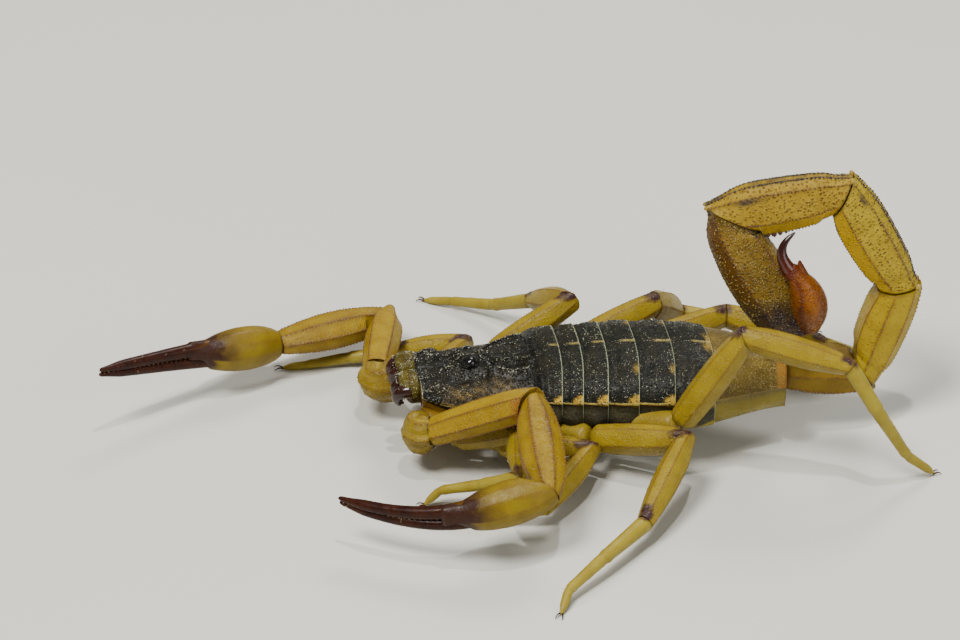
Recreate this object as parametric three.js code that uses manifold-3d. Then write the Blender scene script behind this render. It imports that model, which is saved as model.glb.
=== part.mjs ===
// A yellow scorpion of the genus Tityus, life size and still: it stands on its eight feet with both
// claws forward and its tail curled up over its back, the sting folded into the middle of the curl.
//
// Millimetres. The head points to -X, the tail to +X, +Y is the animal's right side and Z is up.
// Joints are laid out with the feet on Z = 0; the last lines centre the finished animal on its origin.
import * as THREE from 'three';
import { mergeVertices } from 'three/addons/utils/BufferGeometryUtils.js';
import Module from 'manifold-3d';

const wasm = await Module();
wasm.setup();

// ---------------------------------------------------------------- driving dimensions
const GAP = 0.12; // clearance between neighbouring shell pieces
const FLOOR = 0;
const LEFT = -1; // the side of a paired piece, as the sign of its Y
const RIGHT = 1;

const TRUNK = {
  neck: -5.85, // X where the head shield meets the first back plate
  ends: [-4.6, -3.35, -1.9, -0.1, 2.0, 4.35], // X of the rear edge of back plates 1 to 6
  waist: 8.64, // X where the last back plate meets the tail
  halfWidth: 4.0,
  back: 6.3, // Z of the back's middle line
  edge: 4.3, // Z of the plates' side edges
  belly: 1.4, // Z of the underside
  flare: 0.035, // each plate's rear edge stands this share wider than its front edge
};

const HEAD = {
  length: 7.35,
  turn: THREE.MathUtils.degToRad(7.7), // the head shield looks a little to the left
  rearHalfWidth: 3.75,
  frontHalfWidth: 2.45,
  rearTop: 5.92,
  frontTop: 5.1,
  rearEdge: 4.15,
  frontEdge: 4.6,
  belly: 1.6,
};
// Points on the head lie in its own frame: X forward from the neck, Y to the left, Z up.
const EYE = { at: [4.4, 0.47, 5.7], radius: 0.3 };
const EYE_MOUND = { at: [4.3, 0, 5.38], size: [1.05, 0.7, 0.5] };
const EYE_RIDGE = { at: [6.55, 2.1, 4.8], size: [0.62, 0.28, 0.24] };
const JAW = { at: [7.1, 1.0, 4.45], length: 0.7, radius: 0.85, finger: 0.26 };

// The way a length points is an azimuth from +X and an elevation, in degrees.
const TAIL_ROOT = [TRUNK.waist, 0.4, 4.06];
const TAIL_HALF_WIDTH = 1.55;
const TAIL = [
  { run: [4.74, 5, -3], depth: 3.3 },
  { run: [6.12, 6, 73], depth: 3.3 },
  { run: [7.25, 180, 61], depth: 3.35 },
  { run: [7.0, 180, -11.6], depth: 3.5 },
  { run: [8.55, -22, -55.4], depth: 3.7 },
];
const STING = {
  neck: [9.75, -1.15, 7.9],
  bulb: [9.95, -2.5, 11.2], // the curve of the bulb's middle line bends towards this point
  base: [8.3, -1.75, 12.65],
  bend: [7.75, -1.55, 13.85],
  tip: [8.85, -1.15, 14.45],
  spur: [[9.35, -1.9, 12.3], [9.3, -1.85, 13.2]],
};

// A leg grows from its hip under the body and shows at its root. Its foot, of a length and an
// azimuth, slopes down from the last joint to stand on the floor.
const SOLE = 0.12; // height of a foot's middle line where it stands
const LEGS = [
  {
    side: LEFT, number: 1, hip: [-9.75, -1.35, 1.7], root: [-10.95, -3.9, 2.1],
    runs: [[4.4, -20, 21], [4.4, -91, -5], [2.9, 147, -29], [2.6, 168, -17]], foot: [1.4, 185],
  },
  {
    side: LEFT, number: 2, hip: [-8.3, -1.3, 1.7], root: [-8.5, -4.2, 1.95],
    runs: [[5.8, -14, 4], [5.2, -123, -11], [3.6, 178, -5], [3.0, 172, -8]], foot: [2.0, 173],
  },
  {
    side: LEFT, number: 3, hip: [-6.9, -1.35, 1.7], root: [-2.9, -4.2, 2.3],
    runs: [[6.1, -24, 14], [6.1, -116, -21], [4.0, -128, -3], [3.0, -132, -11]], foot: [1.6, -108],
  },
  {
    side: LEFT, number: 4, hip: [-5.4, -1.2, 1.7], root: [2.2, -4.6, 3.6],
    runs: [[7.1, 0, 59], [6.3, -10, -13], [3.2, -22, -56], [4.2, 24, -60]], foot: [2.7, 26],
  },
  {
    side: RIGHT, number: 1, hip: [-10.1, 0.75, 1.7], root: [-12.3, 2.75, 2.2],
    runs: [[4.4, 62, -6], [4.4, 176, -9], [2.9, 181, -8], [2.6, 184, -9]], foot: [1.5, 186],
  },
  {
    side: RIGHT, number: 2, hip: [-8.5, 1.1, 1.7], root: [-8.8, 4.2, 2.6],
    runs: [[5.8, 19, 28], [5.2, 120, -28], [3.6, 138, -28], [3.0, 150, -13]], foot: [2.0, 158],
  },
  {
    side: RIGHT, number: 3, hip: [-6.9, 1.35, 1.7], root: [-4.2, 4.4, 2.9],
    runs: [[6.1, 26, 15], [6.1, 70, -36], [4.0, -8, -5], [3.0, -10, -5]], foot: [1.6, -6],
  },
  {
    side: RIGHT, number: 4, hip: [-5.4, 1.2, 1.7], root: [-0.5, 4.2, 3.0],
    runs: [[7.0, 31.5, 0.5], [6.2, -20, -6.5], [3.4, 30, -32], [3.4, 70, -5]], foot: [2.0, 100],
  },
];
// Half widths of a leg's lengths at their two ends and the swell between, as shares of its girth.
const LEG_GIRTH = [0.92, 0.96, 1.04, 1.0];
const HIP = { start: 0.72, end: 0.74, swell: 0.04 };
const FEMUR = { start: 0.68, end: 0.66, swell: 0.14 };
const PATELLA = { start: 0.68, end: 0.5, swell: 0.2 };
const FOOT = { start: 0.47, end: 0.27, swell: 0.02 };

// A claw arm leaves the head's underside at its hip and turns at its shoulder and elbow ball.
const ARMS = [
  {
    side: LEFT, hip: [-10.8, -1.9, 2.75], shoulder: [-12.5, -3.3, 2.65], ball: [-13.15, -4.5, 2.85],
    root: [-12.21, -4.62, 3.05], runs: [[6.9, -16, 28], [7.0, -83, -13], [5.0, 189, -13], [7.45, 163, -3]],
  },
  {
    side: RIGHT, hip: [-11.0, 0.4, 2.75], shoulder: [-13.3, 1.35, 2.65], ball: [-15.7, 0.95, 2.75],
    root: [-15.55, 1.9, 3.05], runs: [[6.9, 86, -6], [7.2, -155, 1], [5.0, -151, 9], [7.45, -144, 12]],
  },
];
const ARM_FEMUR = { start: 0.85, end: 0.98, swell: 0.12 };
const ARM_PATELLA = { start: 0.8, end: 0.85, swell: 0.5 };
const ARM_DEPTH = { femur: 1.0, patella: 0.82 }; // height as a share of the width
const PALM = { depth: 2.75, width: 2.5 };
const FINGER = { rootDepth: 0.98, tipRadius: 0.26, straight: 2.6 };

const COMB = { teeth: 16, length: 3.5, spine: 0.7, tooth: 0.5, thickness: 0.5, height: 0.8 };

// ---------------------------------------------------------------- finishes
const finish = (color, roughness) => ({ color, roughness, metalness: 0 });
const OCHRE = finish(0xc79a35, 0.42);
const PALE_OCHRE = finish(0xcdb055, 0.45);
const UMBER = finish(0x3b3428, 0.5);
const OLIVE = finish(0x8a7430, 0.5);
const GARNET = finish(0x4a1710, 0.25);
const AMBER = finish(0xa8501a, 0.2);
const JET = finish(0x080707, 0.08);

// ---------------------------------------------------------------- solids
const UP = new THREE.Vector3(0, 0, 1);
const RIGHTWARD = new THREE.Vector3(0, 1, 0);
const vector = (point) => new THREE.Vector3(...point);

/** The unit vector of an azimuth from +X and an elevation above the horizon, in degrees. */
function heading(azimuth, elevation) {
  const turn = THREE.MathUtils.degToRad(azimuth);
  const climb = THREE.MathUtils.degToRad(elevation);
  const level = Math.cos(climb);
  return new THREE.Vector3(level * Math.cos(turn), level * Math.sin(turn), Math.sin(climb));
}

/** The joints of a limb that starts at one point and follows its runs. */
function jointsOf(start, runs) {
  const joints = [vector(start)];
  for (const [length, azimuth, elevation] of runs) {
    joints.push(joints.at(-1).clone().addScaledVector(heading(azimuth, elevation), length));
  }
  return joints;
}

/** A closed geometry as a solid that can be cut and joined. */
function solid(geometry) {
  const bare = geometry.clone();
  bare.deleteAttribute('normal');
  bare.deleteAttribute('uv');
  const merged = mergeVertices(bare, 1e-4);
  const corners = merged.index.array;
  const faces = [];
  for (let i = 0; i < corners.length; i += 3) {
    const [a, b, c] = corners.slice(i, i + 3);
    if (a !== b && b !== c && c !== a) faces.push(a, b, c);
  }
  return new wasm.Manifold(new wasm.Mesh({
    numProp: 3,
    vertProperties: merged.attributes.position.array,
    triVerts: new Uint32Array(faces),
  }));
}

/** The named mesh of a finished solid. */
function piece(name, body, { color, roughness, metalness }) {
  const { vertProperties, triVerts } = body.getMesh();
  const geometry = new THREE.BufferGeometry();
  geometry.setAttribute('position', new THREE.BufferAttribute(vertProperties, 3));
  geometry.setIndex(new THREE.BufferAttribute(triVerts, 1));
  geometry.computeVertexNormals();
  const material = new THREE.MeshStandardMaterial({ color, roughness, metalness });
  const mesh = new THREE.Mesh(geometry, material);
  mesh.name = name;
  return mesh;
}

const joined = (bodies) => bodies.reduce((whole, body) => whole.add(body));
const without = (body, others) => others.reduce((rest, other) => rest.subtract(other), body);

/** Cuts away all that lies beyond a plane, given by a point on it and the side to lose. */
function cutBeyond(body, point, side) {
  const size = 60;
  const normal = side.clone().normalize();
  const block = new THREE.BoxGeometry(size, size, size);
  block.applyQuaternion(new THREE.Quaternion().setFromUnitVectors(UP, normal));
  const centre = point.clone().addScaledVector(normal, size / 2);
  block.translate(centre.x, centre.y, centre.z);
  return body.subtract(solid(block));
}

/** Two neighbours part at their joint on the plane that halves the bend between their directions. */
function partAt(joint, before, after, first, second) {
  const onward = before.clone().normalize().add(after.clone().normalize()).normalize();
  return [
    cutBeyond(first, joint.clone().addScaledVector(onward, -GAP / 2), onward),
    cutBeyond(second, joint.clone().addScaledVector(onward, GAP / 2), onward.clone().negate()),
  ];
}

/** Parts a whole row of lengths at the joints between them. */
function partRow(bodies, joints) {
  const row = [...bodies];
  for (let i = 1; i < row.length; i += 1) {
    const before = joints[i].clone().sub(joints[i - 1]);
    const after = joints[i + 1].clone().sub(joints[i]);
    [row[i - 1], row[i]] = partAt(joints[i], before, after, row[i - 1], row[i]);
  }
  return row;
}

/**
 * A closed oval tube along a path, rounded off past both ends. `girth(t)` gives its half width, its
 * reach to the back and its reach to the belly; `boxy` below 1 squares the oval, and `grow` adds a
 * clearance all round.
 */
function tube(path, back, girth, { sides = 8, rings = 2, boxy = 1, grow = 0 } = {}) {
  const rounding = [[1, 0], [0.71, 0.71]]; // how far past the end, and how wide there
  const middle = Array.from({ length: rings + 1 }, (_, ring) => ({ t: ring / rings, past: 0, wide: 1 }));
  const stations = [
    ...rounding.map(([past, wide]) => ({ t: 0, past: -past, wide })),
    ...middle,
    ...rounding.toReversed().map(([past, wide]) => ({ t: 1, past, wide })),
  ];
  const outline = stations.map(({ wide }, row) => new THREE.Vector2(wide, row));
  const frames = stations.map(({ t, past, wide }) => {
    const [halfWidth, toBack, toBelly] = girth(t).map((reach) => reach + grow);
    const along = path.getTangent(t).normalize();
    const across = along.clone().cross(back).normalize();
    const centre = path.getPoint(t).addScaledVector(along, past * Math.min(halfWidth, toBelly));
    return { centre, across, upward: across.clone().cross(along), wide, halfWidth, toBack, toBelly };
  });
  const geometry = new THREE.LatheGeometry(outline, sides);
  const position = geometry.getAttribute('position');
  for (let i = 0; i < position.count; i += 1) {
    const frame = frames[Math.round(position.getY(i))];
    const whole = frame.wide || 1;
    const lift = position.getZ(i) / whole;
    const spread = position.getX(i) / whole;
    const reach = lift > 0 ? frame.toBack : frame.toBelly;
    const upward = frame.wide * reach * Math.sign(lift) * Math.abs(lift) ** boxy;
    const sideways = frame.wide * frame.halfWidth * Math.sign(spread) * Math.abs(spread) ** boxy;
    const point = frame.centre.clone();
    point.addScaledVector(frame.upward, upward).addScaledVector(frame.across, sideways);
    position.setXYZ(i, point.x, point.y, point.z);
  }
  return solid(geometry);
}

/** A tube that swells between its ends; `depth` is its height as a share of its width. */
function tapered(path, { start, end, swell }, { depth = 1, back = UP, ...options } = {}) {
  const girth = (t) => {
    const halfWidth = THREE.MathUtils.lerp(start, end, t) + swell * Math.sin(Math.PI * t);
    return [halfWidth, halfWidth * depth, halfWidth * depth];
  };
  return tube(path, back, girth, options);
}

const limb = (from, to, girth, options) => tapered(new THREE.LineCurve3(from, to), girth, options);

/** An oval mound with its half sizes along X, Y and Z. */
function mound(at, [x, y, z], place = new THREE.Matrix4()) {
  const geometry = new THREE.SphereGeometry(1, 8, 5);
  geometry.scale(x, y, z);
  geometry.translate(...at);
  return solid(geometry.applyMatrix4(place));
}

// ---------------------------------------------------------------- trunk
/**
 * A length of the body round the X axis. `shape(x)` gives the half width and the heights of the
 * back, the side edge and the belly at a cross-plane. A `crown` above 1 makes the back a gable,
 * below 1 a barrel.
 */
function bodyLength(from, to, shape, { rings = 2, sides = 20, place = new THREE.Matrix4() } = {}) {
  const outline = [new THREE.Vector2(0, from)];
  for (let ring = 0; ring <= rings; ring += 1) {
    outline.push(new THREE.Vector2(1, THREE.MathUtils.lerp(from, to, ring / rings)));
  }
  outline.push(new THREE.Vector2(0, to));
  const geometry = new THREE.LatheGeometry(outline, sides);
  const position = geometry.getAttribute('position');
  for (let i = 0; i < position.count; i += 1) {
    const x = position.getY(i);
    const lift = position.getZ(i);
    const spread = position.getX(i);
    const { halfWidth, back, edge, belly, crown } = shape(x);
    const upper = lift > 0;
    const height = upper ? (back - edge) * lift ** crown : (belly - edge) * Math.abs(lift) ** 0.7;
    const sideways = halfWidth * Math.sign(spread) * Math.abs(spread) ** (upper ? 0.88 : 1.1);
    position.setXYZ(i, x, -sideways, edge + height);
  }
  return solid(geometry.applyMatrix4(place));
}

/** The trunk narrows a little to the head, and strongly to the tail behind the sixth plate. */
function trunkShape(x) {
  const taper = THREE.MathUtils.smoothstep(x, TRUNK.ends[4], TRUNK.waist + 0.6);
  const neck = 1 - THREE.MathUtils.smoothstep(x, TRUNK.neck - 1, TRUNK.ends[3]);
  return {
    halfWidth: TRUNK.halfWidth - 0.3 * neck - 2.0 * taper,
    back: TRUNK.back - 0.38 * neck - 0.5 * taper,
    edge: TRUNK.edge - 0.1 * taper,
    belly: TRUNK.belly + 0.2 * neck + 0.95 * taper,
    crown: 0.85 + 0.2 * neck,
  };
}

/** One back plate with the belly plate below it: its rear edge stands proud of the next one. */
function backPlate(number) {
  const edges = [TRUNK.neck - 0.5, ...TRUNK.ends, TRUNK.waist + 0.2];
  const from = edges[number - 1] + GAP / 2;
  const to = edges[number] - GAP / 2;
  const flared = (x) => {
    const { halfWidth, back, edge, belly, crown } = trunkShape(x);
    const flare = 1 + (TRUNK.flare * (x - from)) / (to - from);
    return {
      halfWidth: halfWidth * flare,
      back: edge + (back - edge) * flare,
      edge,
      belly: edge + (belly - edge) * flare,
      crown,
    };
  };
  return bodyLength(from, to, flared, { rings: number === 7 ? 4 : 1 });
}

// ---------------------------------------------------------------- head
const NECK = new THREE.Vector3(TRUNK.neck, 0, 0);
const ON_HEAD = new THREE.Matrix4().makeRotationZ(Math.PI + HEAD.turn).setPosition(NECK);
const onHead = (point) => vector(point).applyMatrix4(ON_HEAD);
const mirrored = ([x, y, z], side) => [x, -side * y, z]; // the head's own Y points to the left

/** The head shield with its sides and underside. */
function headShape(x) {
  const forward = THREE.MathUtils.clamp(x / HEAD.length, 0, 1);
  const nose = THREE.MathUtils.smoothstep(x, HEAD.length - 1.6, HEAD.length + 0.4);
  const halfWidth = THREE.MathUtils.lerp(HEAD.rearHalfWidth, HEAD.frontHalfWidth, forward);
  return {
    halfWidth: halfWidth + 0.25 * Math.sin(Math.PI * forward) - 0.15 * nose,
    back: THREE.MathUtils.lerp(HEAD.rearTop, HEAD.frontTop, forward) - 0.1 * nose,
    edge: THREE.MathUtils.lerp(HEAD.rearEdge, HEAD.frontEdge, forward ** 2),
    belly: HEAD.belly + 1.9 * nose,
    crown: 1.05 + 0.55 * Math.sin(Math.PI * forward),
  };
}

/** The head with its eye mounds and the bases of both claw arms. */
function headBody() {
  const shield = bodyLength(-0.5, HEAD.length, headShape, { rings: 5, sides: 18, place: ON_HEAD });
  const ridges = [LEFT, RIGHT].map((side) => mound(mirrored(EYE_RIDGE.at, side), EYE_RIDGE.size, ON_HEAD));
  const armBases = ARMS.map(({ hip, shoulder }) => {
    const base = limb(vector(hip), vector(shoulder), { start: 0.95, end: 0.95, swell: 0 }, { rings: 1 });
    const onward = vector(shoulder).sub(vector(hip));
    return cutBeyond(base, vector(shoulder).addScaledVector(onward.clone().normalize(), -GAP / 2), onward);
  });
  return joined([shield, mound(EYE_MOUND.at, EYE_MOUND.size, ON_HEAD), ...ridges, ...armBases]);
}

/** One middle eye, a ball in its socket; `grow` gives the socket instead. */
function eye(side, grow = 0) {
  const radius = EYE.radius + grow;
  return mound(mirrored(EYE.at, side), [radius, radius, radius], ON_HEAD);
}

/** One jaw in front of the head shield: a short hand and two small fingers that bend down. */
function jaw(side) {
  const at = (x, y, z) => onHead(mirrored([JAW.at[0] + x, JAW.at[1] + y, JAW.at[2] + z], side));
  const girth = { start: JAW.radius, end: JAW.radius * 0.9, swell: 0 };
  const hand = limb(at(-0.3, 0, 0), at(JAW.length, 0, 0), girth, { rings: 1 });
  const fingers = [-0.3, 0.25].map((spread) => {
    const path = new THREE.QuadraticBezierCurve3(
      at(0.95, spread, -0.1),
      at(1.5, spread * 0.9, -0.35),
      at(1.4, spread * 0.6, -1.0),
    );
    const reach = (t) => Array(3).fill(THREE.MathUtils.lerp(JAW.finger * 1.3, JAW.finger * 0.85, t));
    return tube(path, onHead([1, 0, 0]).sub(onHead([0, 0, -0.4])), reach, { sides: 6 });
  });
  const front = onHead([HEAD.length + GAP, 0, 0]);
  const backward = onHead([-1, 0, 0]).sub(onHead([0, 0, 0]));
  return cutBeyond(joined([hand, ...fingers]), front, backward);
}

// ---------------------------------------------------------------- legs
const scale = (factor) => ({ start, end, swell }) => ({
  start: start * factor,
  end: end * factor,
  swell: swell * factor,
});

/** The joints of a leg from its root to the end of its foot, at the height of the sole. */
function legJoints({ root, runs, foot: [length, azimuth] }) {
  const joints = jointsOf(root, runs);
  const drop = THREE.MathUtils.radToDeg(Math.asin((SOLE - joints.at(-1).z) / length));
  return [...joints, joints.at(-1).clone().addScaledVector(heading(azimuth, drop), length)];
}

/** The hip and femur of a leg, with a clearance round them when they cut a neighbour. */
function legRoot(leg, grow = 0) {
  const [start, knee] = legJoints(leg);
  const scaled = scale(LEG_GIRTH[leg.number - 1]);
  const hip = limb(vector(leg.hip), start, scaled(HIP), { sides: 6, rings: 1, grow });
  return hip.add(limb(start, knee, scaled(FEMUR), { depth: 1.15, grow }));
}

/** A leg's three pieces: hip with femur, patella, and the foot that ends in a flat on the floor. */
function legPieces(leg) {
  const joints = legJoints(leg);
  const scaled = scale(LEG_GIRTH[leg.number - 1]);
  const patella = limb(joints[1], joints[2], scaled(PATELLA), { depth: 1.15 });
  const lower = new THREE.CatmullRomCurve3(joints.slice(2), false, 'centripetal');
  const foot = tapered(lower, scaled(FOOT), { sides: 6, rings: 3 });
  const [femur, middle, standing] = partRow([legRoot(leg), patella, foot], joints);
  const down = UP.clone().negate();
  return [femur, middle, cutBeyond(standing, new THREE.Vector3(0, 0, FLOOR), down)];
}

// ---------------------------------------------------------------- claw arms
/** The ball-shaped turn of an arm between its base under the head and its femur. */
function armBall({ shoulder, ball, root, runs, hip }, grow = 0) {
  const round = { start: 0.95, end: 1.12, swell: 0 };
  const inner = limb(vector(shoulder), vector(ball), round, { rings: 1, grow });
  const outer = limb(vector(ball), vector(root), { start: 1.12, end: 0.95, swell: 0 }, { rings: 1, grow });
  const inward = vector(hip).sub(vector(shoulder)).normalize();
  const body = cutBeyond(inner.add(outer), vector(shoulder).addScaledVector(inward, -GAP / 2), inward);
  const onward = heading(...runs[0].slice(1));
  return cutBeyond(body, vector(root).addScaledVector(onward, -GAP / 2), onward);
}

/** The palm with its fixed finger, and the movable finger below it. */
function claw(wrist, knuckle, tip) {
  const along = knuckle.clone().sub(wrist).normalize();
  const across = along.clone().cross(UP).normalize();
  const upward = across.clone().cross(along);
  const onLine = (from, distance) => from.clone().addScaledVector(along, distance);
  const palmGirth = (t) => {
    const swell = Math.sin(Math.PI * THREE.MathUtils.lerp(0.17, 0.8, t)) ** 0.8;
    return [(PALM.width / 2) * swell, (PALM.depth / 2) * swell, (PALM.depth / 2) * swell];
  };
  const palmPath = new THREE.LineCurve3(onLine(wrist, 0.2), knuckle);
  const palm = tube(palmPath, upward, palmGirth, { sides: 10, rings: 4, boxy: 0.9 });

  // Both fingers leave the palm on its own line, bend to the tip and lie closed together.
  const middleLine = [onLine(knuckle, -0.8), onLine(knuckle, FINGER.straight), tip];
  const halfDepth = (t) => THREE.MathUtils.lerp(FINGER.rootDepth / 2, FINGER.tipRadius, t);
  const finger = (side) => {
    const line = middleLine.map((point, i) => (
      point.clone().addScaledVector(upward, side * (halfDepth(i / 2) + GAP / 2))
    ));
    const girth = (t) => Array(3).fill(halfDepth(t));
    return tube(new THREE.QuadraticBezierCurve3(...line), upward, girth, { rings: 5 });
  };
  const hinge = onLine(knuckle, -0.35).addScaledVector(upward, -0.45);
  const hingeSide = along.clone().multiplyScalar(0.55).addScaledVector(upward, -0.83);
  const hingeGap = hinge.clone().addScaledVector(hingeSide, GAP);
  return [
    cutBeyond(palm, hinge, hingeSide).add(finger(1)),
    cutBeyond(finger(-1), hingeGap, hingeSide.clone().negate()),
  ];
}

/** An arm's five pieces, from the ball at its base to the movable finger. */
function armPieces(arm) {
  const [root, knee, wrist, knuckle, tip] = jointsOf(arm.root, arm.runs);
  const boxed = { sides: 10, rings: 3, boxy: 0.85 };
  const onward = knee.clone().sub(root).normalize();
  const rough = limb(root, knee, ARM_FEMUR, { ...boxed, depth: ARM_DEPTH.femur });
  const femur = cutBeyond(rough, root.clone().addScaledVector(onward, GAP / 2), onward.clone().negate());
  const patella = limb(knee, wrist, ARM_PATELLA, { ...boxed, depth: ARM_DEPTH.patella });
  const [palm, finger] = claw(wrist, knuckle, tip);
  const parted = partRow([femur, patella, palm], [root, knee, wrist, knuckle]);
  return [armBall(arm), ...parted, finger];
}

// ---------------------------------------------------------------- tail
/** The five tail rings, each a keeled tube that widens to its far end. */
function tailRings(sockets) {
  const joints = jointsOf(TAIL_ROOT, TAIL.map(({ run }) => run));
  const rings = TAIL.map(({ depth }, i) => {
    const along = joints[i + 1].clone().sub(joints[i]).normalize();
    const inward = along.clone().cross(RIGHTWARD);
    const girth = (t) => {
      const widening = THREE.MathUtils.lerp(0.72, 0.86, t);
      const bulge = Math.sin(Math.PI * t);
      return [
        TAIL_HALF_WIDTH * (widening + 0.1 * bulge),
        (depth / 2) * (widening + 0.22 * bulge),
        (depth / 2) * (widening + 0.07 * bulge),
      ];
    };
    const path = new THREE.LineCurve3(joints[i], joints[i + 1]);
    return tube(path, inward, girth, { sides: 10, rings: 3, boxy: 0.86 });
  });
  const parted = partRow(rings, joints);
  const forward = new THREE.Vector3(-1, 0, 0);
  parted[0] = cutBeyond(parted[0], joints[0].clone().add(new THREE.Vector3(GAP / 2, 0, 0)), forward);
  parted[4] = without(parted[4], sockets);
  return parted;
}

/** The sting's bulb with the small spur under its point; `grow` gives the room it needs. */
function stingBulb(grow = 0) {
  const path = new THREE.QuadraticBezierCurve3(...[STING.neck, STING.bulb, STING.base].map(vector));
  const girth = (t) => {
    const swell = Math.sin(Math.PI * THREE.MathUtils.lerp(0.16, 0.9, t)) ** 1.3;
    return [1.12 * swell, 0.98 * swell, 1.12 * swell].map((reach) => Math.max(reach, 0.42));
  };
  const bulb = tube(path, new THREE.Vector3(-1, 0, 0.3), girth, { sides: 10, rings: 5, grow });
  const [from, to] = STING.spur.map(vector);
  return bulb.add(limb(from, to, { start: 0.4, end: 0.22, swell: 0 }, { sides: 6, rings: 1, grow }));
}

/** The hollow point that curves away from the bulb. */
function stingPoint() {
  const path = new THREE.QuadraticBezierCurve3(...[STING.base, STING.bend, STING.tip].map(vector));
  const girth = (t) => Array(3).fill(THREE.MathUtils.lerp(0.4, 0.24, t));
  const point = tube(path, new THREE.Vector3(-1, 0, 0.3), girth, { sides: 8, rings: 4 });
  return point.subtract(stingBulb(GAP));
}

// ---------------------------------------------------------------- combs
/** A comb of the underside: a flat spine with a row of teeth along its rear edge. */
function comb(side) {
  const outline = new THREE.Shape();
  outline.moveTo(0, 0);
  const pitch = COMB.length / COMB.teeth;
  for (let tooth = 0; tooth < COMB.teeth; tooth += 1) {
    outline.lineTo((tooth + 0.15) * pitch, -COMB.tooth);
    outline.lineTo((tooth + 0.75) * pitch, -COMB.tooth);
    outline.lineTo((tooth + 0.95) * pitch, 0);
  }
  outline.lineTo(COMB.length + 0.3, COMB.spine * 0.5);
  outline.lineTo(COMB.length * 0.6, COMB.spine * 1.25);
  outline.lineTo(0, COMB.spine);
  const options = { depth: COMB.thickness, bevelEnabled: false, steps: 1 };
  const geometry = new THREE.ExtrudeGeometry(outline, options);
  if (side === LEFT) geometry.rotateX(Math.PI).translate(0, 0, COMB.thickness);
  geometry.rotateZ(side * THREE.MathUtils.degToRad(42));
  geometry.translate(-2.3, side * 0.75, COMB.height);
  return solid(geometry);
}

// ---------------------------------------------------------------- the animal
const scorpion = new THREE.Group();
const add = (name, body, look) => scorpion.add(piece(name, body, look));
const sideName = (side) => (side === LEFT ? 'left' : 'right');

const legRoom = LEGS.map((leg) => legRoot(leg, GAP));
const armRoom = ARMS.map((arm) => armBall(arm, GAP));
const eyeRoom = [LEFT, RIGHT].map((side) => eye(side, GAP / 3));

// The head and the first back plate part on the plane that halves the head's turn.
const headward = onHead([1, 0, 0]).sub(onHead([0, 0, 0]));
const [firstPlate, wholeHead] = partAt(NECK, new THREE.Vector3(-1, 0, 0), headward, backPlate(1), headBody());

add('prosoma', without(wholeHead, [...legRoom, ...armRoom, ...eyeRoom]), UMBER);
for (const side of [LEFT, RIGHT]) {
  add(`eye_median_${sideName(side)}`, eye(side), JET);
  add(`chelicera_${sideName(side)}`, jaw(side), OLIVE);
  add(`pecten_${sideName(side)}`, comb(side), PALE_OCHRE);
}

for (let number = 1; number <= 7; number += 1) {
  const plate = number === 1 ? firstPlate : backPlate(number);
  const waist = new THREE.Vector3(TRUNK.waist - GAP / 2, 0, 0);
  const trimmed = number === 7 ? cutBeyond(plate, waist, new THREE.Vector3(1, 0, 0)) : plate;
  add(`mesosoma_${number}`, without(trimmed, legRoom), number === 7 ? OLIVE : UMBER);
}

tailRings([stingBulb(GAP)]).forEach((ring, i) => add(`metasoma_${i + 1}`, ring, i === 4 ? OLIVE : OCHRE));
add('telson_vesicle', stingBulb(), AMBER);
add('telson_aculeus', stingPoint(), GARNET);

for (const arm of ARMS) {
  const names = ['trochanter', 'femur', 'patella', 'manus', 'finger'];
  armPieces(arm).forEach((body, i) => {
    add(`pedipalp_${sideName(arm.side)}_${names[i]}`, body, names[i] === 'finger' ? GARNET : OCHRE);
  });
}

LEGS.forEach((leg, index) => {
  const neighbours = legRoom.filter((_, other) => other === index - 1 && leg.number > 1);
  const [femur, patella, foot] = legPieces(leg);
  const name = `leg_${sideName(leg.side)}_${leg.number}`;
  add(`${name}_femur`, without(femur, neighbours), OCHRE);
  add(`${name}_patella`, patella, OCHRE);
  add(`${name}_foot`, foot, PALE_OCHRE);
});

// The origin is the middle of the space the animal takes up, on the floor.
const middle = new THREE.Box3().setFromObject(scorpion).getCenter(new THREE.Vector3());
scorpion.position.set(-middle.x, -middle.y, FLOOR);

export default scorpion;
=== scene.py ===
# %% [markdown]
# # A yellow scorpion, life size and still
#
# A scorpion wears its skeleton outside: stiff shell plates and tubes that meet at soft skin. So this
# model is built the way the animal is, one closed shell for each plate, ring and limb length. Each
# shell is a ring of points that is extruded along a middle line, and the ring's outline changes on
# the way. Keels, grains and hairs are added as small meshes on top.

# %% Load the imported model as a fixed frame
import math
import random

import bmesh
import bpy
import numpy as np
from mathutils import Matrix, Vector, noise


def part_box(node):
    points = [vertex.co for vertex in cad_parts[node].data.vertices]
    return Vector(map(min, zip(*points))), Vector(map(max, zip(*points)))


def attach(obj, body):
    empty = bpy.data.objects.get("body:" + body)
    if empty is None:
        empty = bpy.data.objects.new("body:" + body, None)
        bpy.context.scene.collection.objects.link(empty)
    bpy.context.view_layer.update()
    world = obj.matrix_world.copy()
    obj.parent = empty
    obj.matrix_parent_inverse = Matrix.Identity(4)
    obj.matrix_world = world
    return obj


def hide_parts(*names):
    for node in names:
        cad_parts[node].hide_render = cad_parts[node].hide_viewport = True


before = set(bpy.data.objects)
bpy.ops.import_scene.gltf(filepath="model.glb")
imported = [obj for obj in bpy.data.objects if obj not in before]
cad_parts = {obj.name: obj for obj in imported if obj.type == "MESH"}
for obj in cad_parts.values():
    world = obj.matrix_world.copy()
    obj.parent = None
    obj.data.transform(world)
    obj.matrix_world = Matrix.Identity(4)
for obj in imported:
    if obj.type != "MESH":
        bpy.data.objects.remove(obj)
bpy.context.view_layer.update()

random.seed(8)
print("nodes in the frame:", len(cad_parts))

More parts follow.
